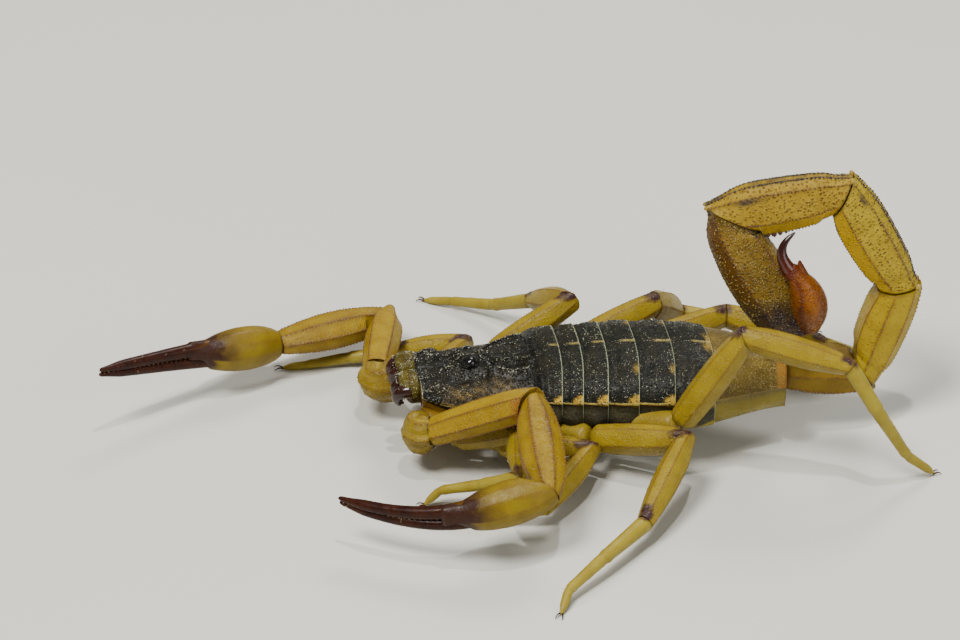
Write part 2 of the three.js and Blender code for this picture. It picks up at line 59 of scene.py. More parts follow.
# %% [markdown]
# ## Where things are
#
# The animal is laid out in millimetres, in the frame in which it was drawn: the trunk's middle line
# is Y = 0 and its feet stand on Z = 0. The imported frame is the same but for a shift, which the last
# back plate gives: its rear edge is at the waist, and it is as wide on the left as on the right.

# %% Scale and shift
MM = 0.001
SEAM = 0.018  # what each length stops short of its joint
LEFT, RIGHT = -1, 1
SIDE_NAMES = {LEFT: "left", RIGHT: "right"}
UPWARD = Vector((0, 0, 1))
NECK_X, WAIST_X = -5.85, 8.64
WAIST_GAP = 0.06
PLATE_ENDS = [-4.6, -3.35, -1.9, -0.1, 2.0, 4.35]
LAST_PLATE = 7

low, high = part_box(f"mesosoma_{LAST_PLATE}")
SHIFT = Vector((high.x / MM - (WAIST_X - WAIST_GAP), (low.y + high.y) / 2 / MM, 0))
TO_FRAME = Matrix.Scale(MM, 4) @ Matrix.Translation(SHIFT)
print("shift in mm:", [round(value, 3) for value in SHIFT])


def heading(azimuth, elevation):
    """The unit vector of an azimuth from +X and an elevation above the horizon, in degrees."""
    turn, climb = math.radians(azimuth), math.radians(elevation)
    level = math.cos(climb)
    return Vector((level * math.cos(turn), level * math.sin(turn), math.sin(climb)))


def joints_of(start, runs):
    """The joints of a limb that starts at one point and follows its runs."""
    joints = [Vector(start)]
    for length, azimuth, elevation in runs:
        joints.append(joints[-1] + heading(azimuth, elevation) * length)
    return joints


def smooth(low, high, value):
    """0 below the low end, 1 above the high end, and a smooth rise between."""
    share = min(max((value - low) / (high - low), 0), 1)
    return share * share * (3 - 2 * share)


def lerp(start, end, share):
    return start + (end - start) * share


def bell(*pairs):
    """1 in the middle of a soft bump, near 0 outside it. A pair is how far off and how wide it is."""
    return math.exp(-sum((away / width) ** 2 for away, width in pairs))


def side_of(turn):
    """How far round from the back a point is, on either side: 0 at the back, 0.5 at the belly."""
    return min(turn % 1, 1 - turn % 1)


# %% [markdown]
# ## Camera, floor and light
#
# The camera looks down at the animal's left side from about 33 degrees, from far away through a long
# lens, as one photographs small animals. Soft lamps on both sides give even light, and a smaller one
# gives each grain of the shell its glint.

# %% Camera, floor and lamps
CAMERA_AT, CAMERA_TO = Vector((-9.412, -217.350, 148.991)), Vector((-9.412, 0.705, 7.385))
CAMERA_LENS, CAMERA_SENSOR = 165.75, 36.0
NEAREST, FARTHEST = 0.01, 10
LAMP_AIM = Vector((0, 0, 0.005))
STUDIO_TINT, STUDIO_STRENGTH = (0.9, 0.92, 0.9, 1), 0.22


def set_camera():
    data = bpy.data.cameras.new("camera")
    data.lens, data.sensor_width = CAMERA_LENS, CAMERA_SENSOR
    data.clip_start, data.clip_end = NEAREST, FARTHEST
    camera = bpy.data.objects.new("camera", data)
    view = (CAMERA_TO - CAMERA_AT).to_track_quat("-Z", "Y")
    camera.matrix_world = Matrix.Translation(TO_FRAME @ CAMERA_AT) @ view.to_matrix().to_4x4()
    bpy.context.scene.collection.objects.link(camera)
    bpy.context.scene.camera = camera


def lamp(name, place, size, power, tint):
    """A round soft lamp at a place in metres. Its size is in metres and its power in watts."""
    data = bpy.data.lights.new(name, "AREA")
    data.shape, data.size, data.energy, data.color = "DISK", size, power, tint
    light = bpy.data.objects.new(name, data)
    turn = (LAMP_AIM - Vector(place)).to_track_quat("-Z", "Y")
    light.matrix_world = Matrix.Translation(place) @ turn.to_matrix().to_4x4()
    bpy.context.scene.collection.objects.link(light)


set_camera()
lamp("key", (-0.12, -0.16, 0.36), 0.12, 2.0, (1.0, 0.98, 0.94))
lamp("fill", (0.30, -0.25, 0.20), 0.30, 0.7, (0.95, 0.98, 1.0))
lamp("rim", (0.10, 0.26, 0.34), 0.16, 0.9, (1.0, 0.98, 0.95))
lamp("glint", (0.02, -0.06, 0.34), 0.012, 0.45, (1.0, 1.0, 1.0))
world = bpy.data.worlds.new("studio")
world.use_nodes = True
sky = world.node_tree.nodes["Background"].inputs
sky["Color"].default_value, sky["Strength"].default_value = STUDIO_TINT, STUDIO_STRENGTH
bpy.context.scene.world = world
print("lamps:", len(bpy.data.lights), "and a lens of", CAMERA_LENS, "mm")


# %% [markdown]
# ## Shader maths as Python expressions
#
# A finish is a tree of nodes. `Finish` makes the nodes, and `Amount` wraps one number that changes
# over the surface, so that a line such as `1 - mask * 0.5` adds its Math nodes by itself.

# %% Amounts and finishes
class Amount:
    """A number that changes over a surface."""

    def __init__(self, finish, socket):
        self.finish, self.socket = finish, socket

    def math(self, operation, *terms, **settings):
        settings = {"operation": operation, **settings}
        node = self.finish.node("ShaderNodeMath", settings, dict(enumerate(terms)))
        return Amount(self.finish, node.outputs[0])

    def __add__(self, other): return self.math("ADD", self, other)
    def __sub__(self, other): return self.math("SUBTRACT", self, other)
    def __rsub__(self, other): return self.math("SUBTRACT", other, self)
    def __mul__(self, other): return self.math("MULTIPLY", self, other)
    __radd__, __rmul__ = __add__, __mul__

    def least(self, other): return self.math("MINIMUM", self, other)
    def most(self, other): return self.math("MAXIMUM", self, other)
    def size(self): return self.math("ABSOLUTE", self)
    def limited(self): return self.math("ADD", self, 0.0, use_clamp=True)

    def rise(self, low, high):
        """0 below the low end and 1 above the high end."""
        settings = {"interpolation_type": "SMOOTHSTEP"}
        values = {"Value": self, "From Min": low, "From Max": high}
        node = self.finish.node("ShaderNodeMapRange", settings, values)
        return Amount(self.finish, node.outputs["Result"])


# The Mix node names the colour sockets like its other ones, so they are found by number.
UNDER, OVER, MIXED = 6, 7, 2


class Finish:
    """The node tree of one finish of the shell."""

    def __init__(self, name):
        self.material = bpy.data.materials.new(name)
        self.material.use_nodes = True
        self.tree = self.material.node_tree
        self.tree.nodes.clear()
        self.place = self.node("ShaderNodeTexCoord").outputs["Object"]

    def node(self, kind, settings=None, values=None):
        """A node of a type, with its settings first and then its sockets' values or links."""
        node = self.tree.nodes.new(kind)
        for key, value in (settings or {}).items():
            setattr(node, key, value)
        for key, value in (values or {}).items():
            if isinstance(value, Amount):
                value = value.socket
            if isinstance(value, bpy.types.NodeSocket):
                self.tree.links.new(value, node.inputs[key])
            else:
                node.inputs[key].default_value = value
        return node

    def mixed(self, share, under, over):
        """One colour laid over another by a share."""
        node = self.node("ShaderNodeMix", {"data_type": "RGBA"}, {"Factor": share})
        for slot, colour in ((UNDER, under), (OVER, over)):
            if isinstance(colour, bpy.types.NodeSocket):
                self.tree.links.new(colour, node.inputs[slot])
            else:
                node.inputs[slot].default_value = (*colour, 1)
        return node.outputs[MIXED]

    def clouds(self, size, detail=3):
        """Soft noise whose patches are about `size` millimetres across."""
        values = {"Vector": self.place, "Scale": 1 / (size * MM), "Detail": detail}
        return Amount(self, self.node("ShaderNodeTexNoise", None, values).outputs["Fac"])

    def grains(self, size):
        """The distance to the middle of the nearest grain, `size` millimetres across."""
        values = {"Vector": self.place, "Scale": 1 / (size * MM)}
        return Amount(self, self.node("ShaderNodeTexVoronoi", None, values).outputs["Distance"])

    def marks(self):
        """What each point of the shell was marked with: stain, dusk and pale."""
        colour = self.node("ShaderNodeAttribute", {"attribute_name": "Marks"}).outputs["Color"]
        parts = self.node("ShaderNodeSeparateColor", None, {"Color": colour})
        return [Amount(self, parts.outputs[i]) for i in range(3)]

    def strip(self):
        """How far round the shell a point is, in turns, and how far along, in millimetres."""
        where = self.node("ShaderNodeUVMap", {"uv_map": "Strip"}).outputs["UV"]
        parts = self.node("ShaderNodeSeparateXYZ", None, {"Vector": where})
        return Amount(self, parts.outputs["X"]), Amount(self, parts.outputs["Y"])

    def bumped(self, height, depth):
        """The surface's direction over bumps of some depth in millimetres."""
        values = {"Height": height, "Distance": depth * MM, "Strength": 1.0}
        return self.node("ShaderNodeBump", None, values).outputs["Normal"]

    def done(self, colour, roughness, normal=None, **constants):
        """The finished material. A constant's name has _ for each space of its socket's name."""
        values = {"Base Color": colour, "Roughness": roughness}
        if normal:
            values["Normal"] = normal
        for name, value in constants.items():
            values[name.replace("_", " ")] = value
        shader = self.node("ShaderNodeBsdfPrincipled", None, values)
        self.node("ShaderNodeOutputMaterial", None, {"Surface": shader.outputs[0]})
        return self.material


FLOOR_REACH = 3


def plain_floor():
    bm = bmesh.new()
    bmesh.ops.create_grid(bm, x_segments=1, y_segments=1, size=FLOOR_REACH)
    floor = bpy.data.objects.new("floor", bpy.data.meshes.new("floor"))
    bm.to_mesh(floor.data)
    bpy.context.scene.collection.objects.link(floor)
    paper = Finish("pale_paper")
    tint = paper.mixed(paper.clouds(40, 2), (0.60, 0.59, 0.53), (0.64, 0.63, 0.57))
    floor.data.materials.append(paper.done(tint, 0.9))


plain_floor()
print("floor:", 2 * FLOOR_REACH, "m wide")

# %% [markdown]
# ## Finishes of the shell
#
# Every shell plate is the same stuff, cuticle: a hard, slightly see-through skin with fine grains.
# Only its colour changes, so one function makes all the finishes. It lays red-brown stain, dusk and
# pale skin over the base wherever the shell was marked with them, and draws the keels' brown lines,
# each with a soft painted shade beside it. It can also strew pale specks as painted highlights, the
# glints of the grains.

# %% The finishes
STAIN, SOOT, CREAM = (0.055, 0.014, 0.008), (0.018, 0.014, 0.012), (0.42, 0.48, 0.30)
RED_BROWN, BROWN = (0.10, 0.026, 0.008), (0.10, 0.035, 0.006)
KEEL_PITCH = 0.2
# Sizes in millimetres of the fine clouds, of the clouds that make the tone uneven and cluster the
# glint specks, of the gloss clouds and of the glint specks. The specks are painted highlights.
FINE_CLOUDS, UNEVEN_AND_GLINT_CLOUDS, GLOSS_CLOUDS, GLINT_SPECK_SIZE = 0.12, 0.5, 0.3, 0.11
PLAIN_EDGE = 0.015
VEIN_HALF_WIDTHS = (0.0022, 0.0045)


def cuticle(name, base, shade, keels=(), dusk=SOOT, stained=STAIN, paled=CREAM, veins=(), grain=0.16,
            relief=0.02, gloss=0.36, clouds=1.2, line=RED_BROWN, line_width=0.006, line_share=0.6,
            freckles=0.2, plain_to=0.0, glint_specks=0.0, glint_tint=(0.62, 0.60, 0.40), **constants):
    """A finish of the shell. Sizes are in millimetres, and places and widths of lines in turns."""
    finish = Finish(name)
    stain, dusky, pale = finish.marks()
    turn, along = finish.strip()
    patches = finish.clouds(clouds).rise(0.35, 0.65)
    fine = finish.clouds(FINE_CLOUDS, 2)
    uneven = finish.clouds(UNEVEN_AND_GLINT_CLOUDS, 2).rise(0.3, 0.7)
    colour = finish.mixed(patches * 0.7, base, shade)
    colour = finish.mixed(fine.rise(0.5, 0.7) * 0.25, colour, shade)
    dots = finish.grains(grain)

    def away_from(lines):
        """How many turns away the nearest of some lengthwise lines is."""
        nearest = None
        for place in lines:
            away = (turn - place).size()
            away = away.least(1 - away)
            nearest = away if nearest is None else nearest.least(away)
        return nearest

    if freckles:
        spots = dots.rise(0.38, 0.2) * freckles * (0.45 + uneven * 0.55)
        if plain_to:
            side = 0.5 - (turn - 0.5).size()
            spots = spots * side.rise(plain_to - PLAIN_EDGE, plain_to + PLAIN_EDGE)
        colour = finish.mixed(spots, colour, line)
    if keels:
        off = away_from(keels)
        beading = along.math("PINGPONG", along, KEEL_PITCH / 2)
        beading = beading.rise(KEEL_PITCH * 0.1, KEEL_PITCH * 0.32)
        drawn = 1 - off.rise(line_width * 0.4, line_width)
        drawn = drawn * (0.3 + beading * 0.7) * (0.55 + uneven * 0.45)
        # Painted shade: a soft brown band beside each keel line, where the ridge would shade the
        # shell.
        keel_shade = (1 - off.rise(0.0, line_width * 3)) * 0.35
        colour = finish.mixed(drawn.most(keel_shade) * line_share, colour, line)
    colour = finish.mixed((dusky * (0.75 + uneven * 0.35)).limited(), colour, dusk)
    if veins:
        stain = stain * (1 - away_from(veins).rise(*VEIN_HALF_WIDTHS))
    colour = finish.mixed((stain * (0.7 + uneven * 0.4)).limited(), colour, stained)
    # Painted highlights: pale specks at the grains' middles, in clusters, stand for the glints of
    # light on the grains.
    if glint_specks:
        spots = finish.grains(GLINT_SPECK_SIZE).rise(0.26, 0.14)
        spots = spots * finish.clouds(UNEVEN_AND_GLINT_CLOUDS, 2).rise(0.42, 0.6)
        colour = finish.mixed(spots * glint_specks, colour, glint_tint)
    colour = finish.mixed(pale, colour, paled)
    height = (1 - dots.rise(0.0, 0.55)) + fine * 0.4
    rough = gloss + finish.clouds(GLOSS_CLOUDS).rise(0.3, 0.7) * 0.16
    return finish.done(colour, rough, finish.bumped(height, relief), **constants)


DULL = {"Specular_IOR_Level": 0.14}
GLOW = {"Specular_IOR_Level": 0.22, "Subsurface_Weight": 0.2, "Subsurface_Scale": 0.0006,
        "Subsurface_Radius": (1.0, 0.6, 0.2)}
ARCH_KEELS = [0.10, 0.21, 0.385, 0.47, 0.53, 0.615, 0.79, 0.90]
SIDE_KEELS = [0.11, 0.22, 0.35, 0.455, 0.545, 0.65, 0.78, 0.89]
BACK_KEELS = [0.125, 0.32, 0.5, 0.68, 0.875]
ARM_KEELS = [0.10, 0.24, 0.36, 0.64, 0.76, 0.90]
ARM_FLATS = [0.065, 0.20, 0.33, 0.67, 0.80, 0.935]
BALL_KEELS = [0.08, 0.24, 0.42, 0.58, 0.76, 0.92]
PALM_KEELS = [0.04, 0.135, 0.24, 0.36, 0.5, 0.64, 0.76, 0.865, 0.96]
LEG_KEELS = [0.06, 0.25, 0.46, 0.54, 0.75, 0.94]

PALE, DEEP_PALE = (0.29, 0.225, 0.020), (0.23, 0.165, 0.010)
EDGE_TURN = 0.238
EDGE_LINES = [EDGE_TURN - 0.003, EDGE_TURN - 0.008]
TAIL_FINISH = cuticle("tail_ochre", (0.35, 0.245, 0.006), (0.27, 0.175, 0.003), SIDE_KEELS,
    grain=0.2, relief=0.03, gloss=0.42, freckles=0.35, line_width=0.010, **GLOW)
ROOT_FINISH = cuticle("tail_root", (0.19, 0.115, 0.002), (0.14, 0.08, 0.002), SIDE_KEELS,
    grain=0.2, relief=0.02, gloss=0.42, freckles=0.2, line_width=0.010, line_share=0.4, **GLOW)
FRECKLED = {
    "keels": ARCH_KEELS, "grain": 0.185, "relief": 0.06, "gloss": 0.46, "freckles": 0.95,
    "plain_to": 0.21, "stained": (0.035, 0.024, 0.020), "dusk": (0.50, 0.30, 0.004),
    "line": (0.075, 0.026, 0.010), "line_width": 0.010, "line_share": 0.85, **GLOW,
}
GOLD_FINISH = cuticle("tail_gold_freckled", (0.38, 0.27, 0.012), (0.30, 0.20, 0.007), **FRECKLED)
ARCH_FINISH = cuticle("tail_ochre_freckled", (0.30, 0.195, 0.011), (0.235, 0.145, 0.006),
    **FRECKLED)
LAST_RING_FINISH = cuticle("tail_olive", (0.175, 0.105, 0.009), (0.090, 0.050, 0.004), BACK_KEELS,
    grain=0.16, dusk=(0.022, 0.011, 0.009), paled=(0.085, 0.031, 0.0012), relief=0.06, gloss=0.28,
    freckles=0.15, glint_specks=0.35, line=(0.12, 0.02, 0.008), line_width=0.012, **GLOW)
ARM_FINISH = cuticle("arm_ochre", (0.305, 0.20, 0.004), (0.215, 0.125, 0.002), ARM_KEELS,
    dusk=(0.22, 0.085, 0.006), line_width=0.013, line_share=0.8, relief=0.035, freckles=0.25,
    glint_specks=0.3, line=BROWN, **GLOW)
TURN_FINISH = cuticle("arm_turn", (0.215, 0.150, 0.004), (0.145, 0.085, 0.002), BALL_KEELS,
    line_width=0.014, stained=(0.36, 0.25, 0.03), relief=0.04, freckles=0.3, glint_specks=0.3,
    line=BROWN, **GLOW)
ARM_FLAT_FINISH = cuticle("arm_ochre_broad_lines", (0.26, 0.168, 0.003), (0.19, 0.112, 0.002),
    ARM_FLATS, dusk=(0.09, 0.05, 0.03), line_width=0.024, line_share=0.8, relief=0.03,
    freckles=0.15, glint_specks=0.25, line=(0.085, 0.03, 0.008), **GLOW)
PALM_FINISH = cuticle("palm_ochre", (0.205, 0.140, 0.004), (0.145, 0.090, 0.003), PALM_KEELS,
    line_width=0.013, line_share=0.45, dusk=(0.030, 0.009, 0.004), line=(0.12, 0.05, 0.004),
    relief=0.012, freckles=0.05, **GLOW)
LEG_FINISH = cuticle("leg_ochre", (0.265, 0.187, 0.007), (0.205, 0.136, 0.005), LEG_KEELS,
    line_width=0.012, line_share=0.7, stained=(0.036, 0.012, 0.011), relief=0.025, freckles=0.18,
    glint_specks=0.3, line=(0.10, 0.035, 0.010), **GLOW)
HIP_FINISH = cuticle("hip_pale", (0.25, 0.18, 0.014), (0.18, 0.12, 0.007), relief=0.012,
    gloss=0.28, freckles=0.08, glint_specks=0.3, **GLOW)
FOOT_FINISH = cuticle("foot_pale", PALE, DEEP_PALE, relief=0.006, freckles=0.04, glint_specks=0.2,
    **GLOW)
BACK_FINISH = cuticle("back_charcoal", (0.005, 0.006, 0.0045), (0.015, 0.013, 0.006),
    dusk=(0.46, 0.29, 0.03), stained=(0.50, 0.38, 0.09),
    veins=[0.0, *EDGE_LINES, *[1 - line for line in EDGE_LINES]], grain=0.14, relief=0.035,
    gloss=0.36, clouds=0.7, freckles=0.0, glint_specks=0.3, **DULL)
HEAD_FINISH = cuticle("head_charcoal", (0.005, 0.005, 0.004), (0.014, 0.012, 0.006),
    dusk=(0.17, 0.105, 0.018), stained=(0.50, 0.40, 0.12), veins=[0.247, 0.753], grain=0.14,
    relief=0.045, gloss=0.30, clouds=0.7, freckles=0.0, glint_specks=0.25, glint_tint=(0.60, 0.60, 0.46),
    **DULL)
WAIST_FINISH = cuticle("back_olive", (0.115, 0.074, 0.005), (0.066, 0.040, 0.003),
    dusk=(0.30, 0.13, 0.008), grain=0.12, relief=0.03, gloss=0.34, glint_specks=0.7,
    glint_tint=(0.60, 0.48, 0.20), **GLOW)
WAIST_SKIN_FINISH = cuticle("waist_skin", (0.23, 0.18, 0.020), (0.165, 0.12, 0.010),
    stained=(0.10, 0.07, 0.02), relief=0.01, gloss=0.24, glint_specks=0.3, **GLOW)
SKIN_FINISH = cuticle("flank_skin", (0.022, 0.020, 0.013), (0.045, 0.038, 0.018), grain=0.3,
    relief=0.03, dusk=(0.28, 0.22, 0.025), gloss=0.4, freckles=0, glint_specks=0.15, **DULL)
BELLY_FINISH = cuticle("belly_plate", (0.16, 0.115, 0.03), (0.09, 0.062, 0.018),
    dusk=(0.28, 0.22, 0.025), grain=0.2, relief=0.01)
JAW_FINISH = cuticle("jaw_olive", (0.080, 0.060, 0.004), (0.020, 0.015, 0.002), grain=0.14,
    relief=0.03, gloss=0.36, glint_specks=0.5, **DULL)
FINGER_FINISH = cuticle("finger_chestnut", (0.034, 0.009, 0.004), (0.015, 0.004, 0.003),
    relief=0.004, gloss=0.24, dusk=(0.16, 0.075, 0.004), clouds=0.8, freckles=0, **DULL)
CLAW_FINISH = cuticle("jaw_garnet", (0.030, 0.007, 0.004), (0.012, 0.004, 0.003), relief=0.002,
    gloss=0.1, freckles=0)
# The sting's dusk colour is the lighter orange of a painted highlight band down the bulb's flank.
STING_FINISH = cuticle("sting_amber", (0.195, 0.060, 0.003), (0.120, 0.030, 0.002), grain=0.17,
    relief=0.06, freckles=0.12, gloss=0.2, stained=(0.075, 0.012, 0.005), dusk=(0.30, 0.10, 0.008),
    line=(0.10, 0.016, 0.003), **GLOW)
POINT_FINISH = cuticle("sting_point", (0.025, 0.005, 0.003), (0.010, 0.003, 0.002), relief=0.003,
    gloss=0.08, freckles=0, dusk=(0.062, 0.010, 0.004))
EYE_FINISH = cuticle("eye_black", (0.003, 0.003, 0.003), (0.006, 0.005, 0.004), relief=0.0,
    gloss=0.03, freckles=0)
SOCKET_FINISH = cuticle("socket_black", (0.004, 0.004, 0.004), (0.008, 0.007, 0.005), relief=0.01,
    gloss=0.16, freckles=0, glint_specks=0.25)
BEAD_FINISH = cuticle("keel_beads", (0.16, 0.06, 0.008), (0.09, 0.028, 0.006), relief=0.002,
    gloss=0.3)
RUST_BEAD_FINISH = cuticle("rust_beads", (0.080, 0.030, 0.009), (0.045, 0.017, 0.006),
    relief=0.002, gloss=0.25)
DARK_BEAD_FINISH = cuticle("dark_beads", (0.010, 0.009, 0.009), (0.025, 0.019, 0.012),
    relief=0.002, gloss=0.12)
OLIVE_BEAD_FINISH = cuticle("olive_beads", (0.32, 0.24, 0.07), (0.22, 0.15, 0.03), relief=0.002,
    gloss=0.16)
PALE_BEAD_FINISH = cuticle("pale_beads", (0.50, 0.53, 0.36), (0.42, 0.40, 0.20), relief=0.002,
    gloss=0.2)
# Painted highlights: pale beads that stand for the glints of light on the grains of the head and the
# back plates.
GLINT_BEAD_FINISH = cuticle("glint_beads", (0.46, 0.47, 0.34), (0.30, 0.30, 0.18), relief=0.0,
    gloss=0.12, freckles=0)
# Painted highlights: pale beads along the gap between a claw's fingers stand for the glints of light
# on its teeth.
TOOTH_GLINT_FINISH = cuticle("tooth_glints", (0.40, 0.30, 0.16), (0.25, 0.15, 0.06), relief=0.0,
    gloss=0.15)
MEMBRANE_FINISH = cuticle("joint_membrane", (0.34, 0.24, 0.05), (0.28, 0.17, 0.02), relief=0.004,
    gloss=0.12, **GLOW)
HAIR_FINISH = cuticle("hairs", (0.45, 0.38, 0.20), (0.36, 0.27, 0.10), relief=0.0, gloss=0.4)
print("finishes:", len([m for m in bpy.data.materials if m.users == 0]))


# %% [markdown]
# ## Swept shells
#
# A shell starts as a circle of points. The circle's edges are extruded again and again, and each
# new ring is moved to its own outline along a middle line, much as a potter pulls up a wall. Both
# ends close on their middle. At a joint the last rings lean into the plane that halves the bend, so
# that two neighbours meet face to face.

# %% Middle lines
class Spine:
    """A middle line with the way its back faces, and the planes its two ends lie in. Rings lean into
    a plane over `lean` millimetres. The outer corner of a bend is rounded off like a ball."""
    rounding = 1.3

    def __init__(self, points, back, first_plane=None, last_plane=None, lean=1.6, bow=None):
        self.bow = bow
        self.points = [Vector(point) for point in points]
        self.back, self.lean = Vector(back), lean
        self.steps = [0.0]
        for near, far in zip(self.points, self.points[1:]):
            self.steps.append(self.steps[-1] + (far - near).length)
        self.length = self.steps[-1]
        self.planes = [(0.0, first_plane), (self.length, last_plane)]

    def point(self, distance):
        distance = min(max(distance, 0), self.length)
        last = len(self.steps) - 1
        i = next((k for k in range(1, last) if distance <= self.steps[k]), last)
        share = (distance - self.steps[i - 1]) / (self.steps[i] - self.steps[i - 1])
        return self.points[i - 1].lerp(self.points[i], share)

    def frame(self, distance):
        """The ways along, across and up at a distance."""
        reach = self.length / 40 if len(self.points) > 2 else self.length / 4
        middle = min(max(distance, reach), self.length - reach)
        along = (self.point(middle + reach) - self.point(middle - reach)).normalized()
        across = along.cross(self.back).normalized()
        return along, across, across.cross(along)

    def place(self, distance, across, up):
        """The point that is some steps across and up from the line."""
        along, side, upward = self.frame(distance)
        offset = side * across + upward * up
        reach, shift = max(offset.length, 1e-6), distance - min(max(distance, 0), self.length)
        for end, plane in self.planes:
            if plane:
                weight = 1 - smooth(0, self.lean, abs(distance - end))
                lean = -weight * offset.dot(plane) / along.dot(plane)
                beyond = max(lean if end else -lean, 0)
                rounded = 1 / math.sqrt(1 + self.rounding * (beyond / reach) ** 2)
                offset, shift = offset * rounded, shift + lean * rounded
        point = self.point(distance) + along * shift + offset
        return point + self.bow(point) if self.bow else point


def bend_plane(before, joint, after):
    """The plane between two lengths that meet at a joint."""
    return ((joint - before).normalized() + (after - joint).normalized()).normalized()


def curve_points(*controls, count=24):
    """Points along a smooth curve that is pulled by its inner control point."""
    start, pull, end = [Vector(point) for point in controls]
    shares = [i / count for i in range(count + 1)]
    return [start.lerp(pull, t).lerp(pull.lerp(end, t), t) for t in shares]


def smooth_chain(points, softness=0.22, count=5):
    """A polyline with its corners rounded off."""
    points = [Vector(point) for point in points]
    line = [points[0]]
    for before, corner, after in zip(points, points[1:], points[2:]):
        near, far = corner.lerp(before, softness), corner.lerp(after, softness)
        line += curve_points(near, corner, far, count=count)
    return line + [points[-1]]


# %% Outlines
def oval(turn, wide, back, belly, boxy=1.0):
    """A point of an oval, `turn` turns round from its back, as steps across and up."""
    lift, spread = math.cos(turn * math.tau), math.sin(turn * math.tau)
    across = math.copysign(abs(spread) ** boxy, spread) * wide
    up = math.copysign(abs(lift) ** boxy, lift) * (back if lift > 0 else belly)
    return Vector((across, up))


def round_girth(turn, half):
    """A point of a round ring."""
    return oval(turn, half, half, half)


def keeled(turn, keels, crest, bulge, *girth, width=0.03):
    """An oval that is flattened between its keels and raised along them."""
    turn %= 1
    ringed = [keels[-1] - 1, *keels, keels[0] + 1]
    last = len(ringed) - 1
    above = next(k for k in range(1, last + 1) if ringed[k] > turn + 1e-9 or k == last)
    low, high = ringed[above - 1], ringed[above]
    share = (turn - low) / (high - low)
    flat = oval(low, *girth).lerp(oval(high, *girth), share)
    point = flat.lerp(oval(turn, *girth), bulge)
    near = min(turn - low, high - turn)
    return point * (1 + crest * max(0, 1 - near / width) / point.length)


print("a quarter of the way round an oval:", oval(0.25, 1.0, 0.8, 0.6))

# %% The shell itself
RIM = [(0.16, 0.0), (0.11, 0.8), (0.02, 0.95), (0.0, 0.98), (0.012, 0.994), (0.045, 1.0)]
DOME_ANGLES = [math.radians(angle) for angle in range(0, 91, 18)]


def stations(length, step, start="rim", end="rim", radius=0.5):
    """Distances along a shell with its outline's size there: rims at joints, domes at free ends."""
    dome = [(radius * (1 - math.cos(angle)), math.sin(angle)) for angle in DOME_ANGLES]
    shapes = {"rim": RIM, "dome": dome}
    first, last = shapes[start], shapes[end]
    inner = first[-1][0], length - last[-1][0]
    count = max(int((inner[1] - inner[0]) / step), 2)
    middle = [(lerp(*inner, k / count), 1.0) for k in range(1, count)]
    return first + middle + [(length - distance, size) for distance, size in reversed(last)]


def swept(spine, rings, outline, sides, marks=None):
    """A closed shell. `outline(distance, turn)` gives a point of a ring as steps across and up, and
    `marks(distance, turn)` gives its stain, dusk and pale marks."""
    bm = bmesh.new()
    turned, gone = bm.verts.layers.float.new("turned"), bm.verts.layers.float.new("gone")
    marked = bm.verts.layers.float_color.new("Marks")
    ring = bmesh.ops.create_circle(bm, segments=sides, radius=1.0)["verts"]
    for vert in ring:
        vert[turned] = (math.atan2(vert.co.y, vert.co.x) / math.tau) % 1
    edges = bm.edges[:]
    first_ring = ring
    for number, (distance, size) in enumerate(rings):
        if number:
            grown = bmesh.ops.extrude_edge_only(bm, edges=edges)["geom"]
            ring = [item for item in grown if isinstance(item, bmesh.types.BMVert)]
            fresh = set(ring)
            edges = [item for item in grown if isinstance(item, bmesh.types.BMEdge)
                     and item.verts[0] in fresh and item.verts[1] in fresh]
        held = min(max(distance, 0), spine.length)
        for vert in ring:
            across, up = outline(held, vert[turned])
            vert.co = spine.place(distance, across * size, up * size)
            vert[gone] = distance
            vert[marked] = (*(marks(held, vert[turned]) if marks else (0, 0, 0)), 1)
    for pole in (first_ring, ring):
        middle = sum((vert.co for vert in pole), Vector()) / len(pole)
        bmesh.ops.pointmerge(bm, verts=pole, merge_co=middle)
    strip = bm.loops.layers.uv.new("Strip")
    for face in bm.faces:
        face.smooth = True
        turns = [loop.vert[turned] for loop in face.loops]
        wraps = max(turns) - min(turns) > 0.5
        for loop in face.loops:
            turn = loop.vert[turned]
            loop[strip].uv = (turn + 1 if wraps and turn < 0.5 else turn, loop.vert[gone])
    bmesh.ops.recalc_face_normals(bm, faces=bm.faces)
    return bm


def face_side(face, turned):
    """How far round from the back a face of a shell is."""
    return sum(side_of(loop.vert[turned]) for loop in face.loops) / len(face.loops)


def copies(template, places):
    """One mesh with a copy of the template at each place, a 4 by 4 matrix each."""
    bm = template.copy()
    strip, marked = bm.loops.layers.uv.new("Strip"), bm.verts.layers.float_color.new("Marks")
    for vert in bm.verts:
        vert[marked] = (0, 0, 0, 1)
    for face in bm.faces:
        face.smooth = True
    corners = len(bm.verts)
    shape = np.array([(*vert.co, 1) for vert in bm.verts])
    while len(bm.verts) < corners * len(places):
        bmesh.ops.duplicate(bm, geom=bm.verts[:] + bm.edges[:] + bm.faces[:])
    bm.verts.ensure_lookup_table()
    bmesh.ops.delete(bm, geom=bm.verts[corners * len(places):], context="VERTS")
    moved = np.concatenate([(shape @ np.array(place).T)[:, :3] for place in places])
    for vert, where in zip(bm.verts, moved):
        vert.co = where
    return bm


# %% [markdown]
# ## Grains and hairs
#
# The shell is rough with thousands of grains, and fine hairs stand on the limbs. A particle system
# could strew them, but its copies would still have to become real meshes. So each grain is a copy of
# one small ball, at a place that the shell's own outline gives, and it stands on the surface.

# %% Beads and hairs
def ball_template(subdivisions=1):
    bm = bmesh.new()
    bmesh.ops.create_icosphere(bm, subdivisions=subdivisions, radius=1)
    return bm


def hair_template():
    bm = bmesh.new()
    bmesh.ops.create_cone(bm, segments=4, radius1=1, radius2=0.15, depth=1, cap_ends=True)
    bmesh.ops.translate(bm, verts=bm.verts, vec=(0, 0, 0.5))
    return bm


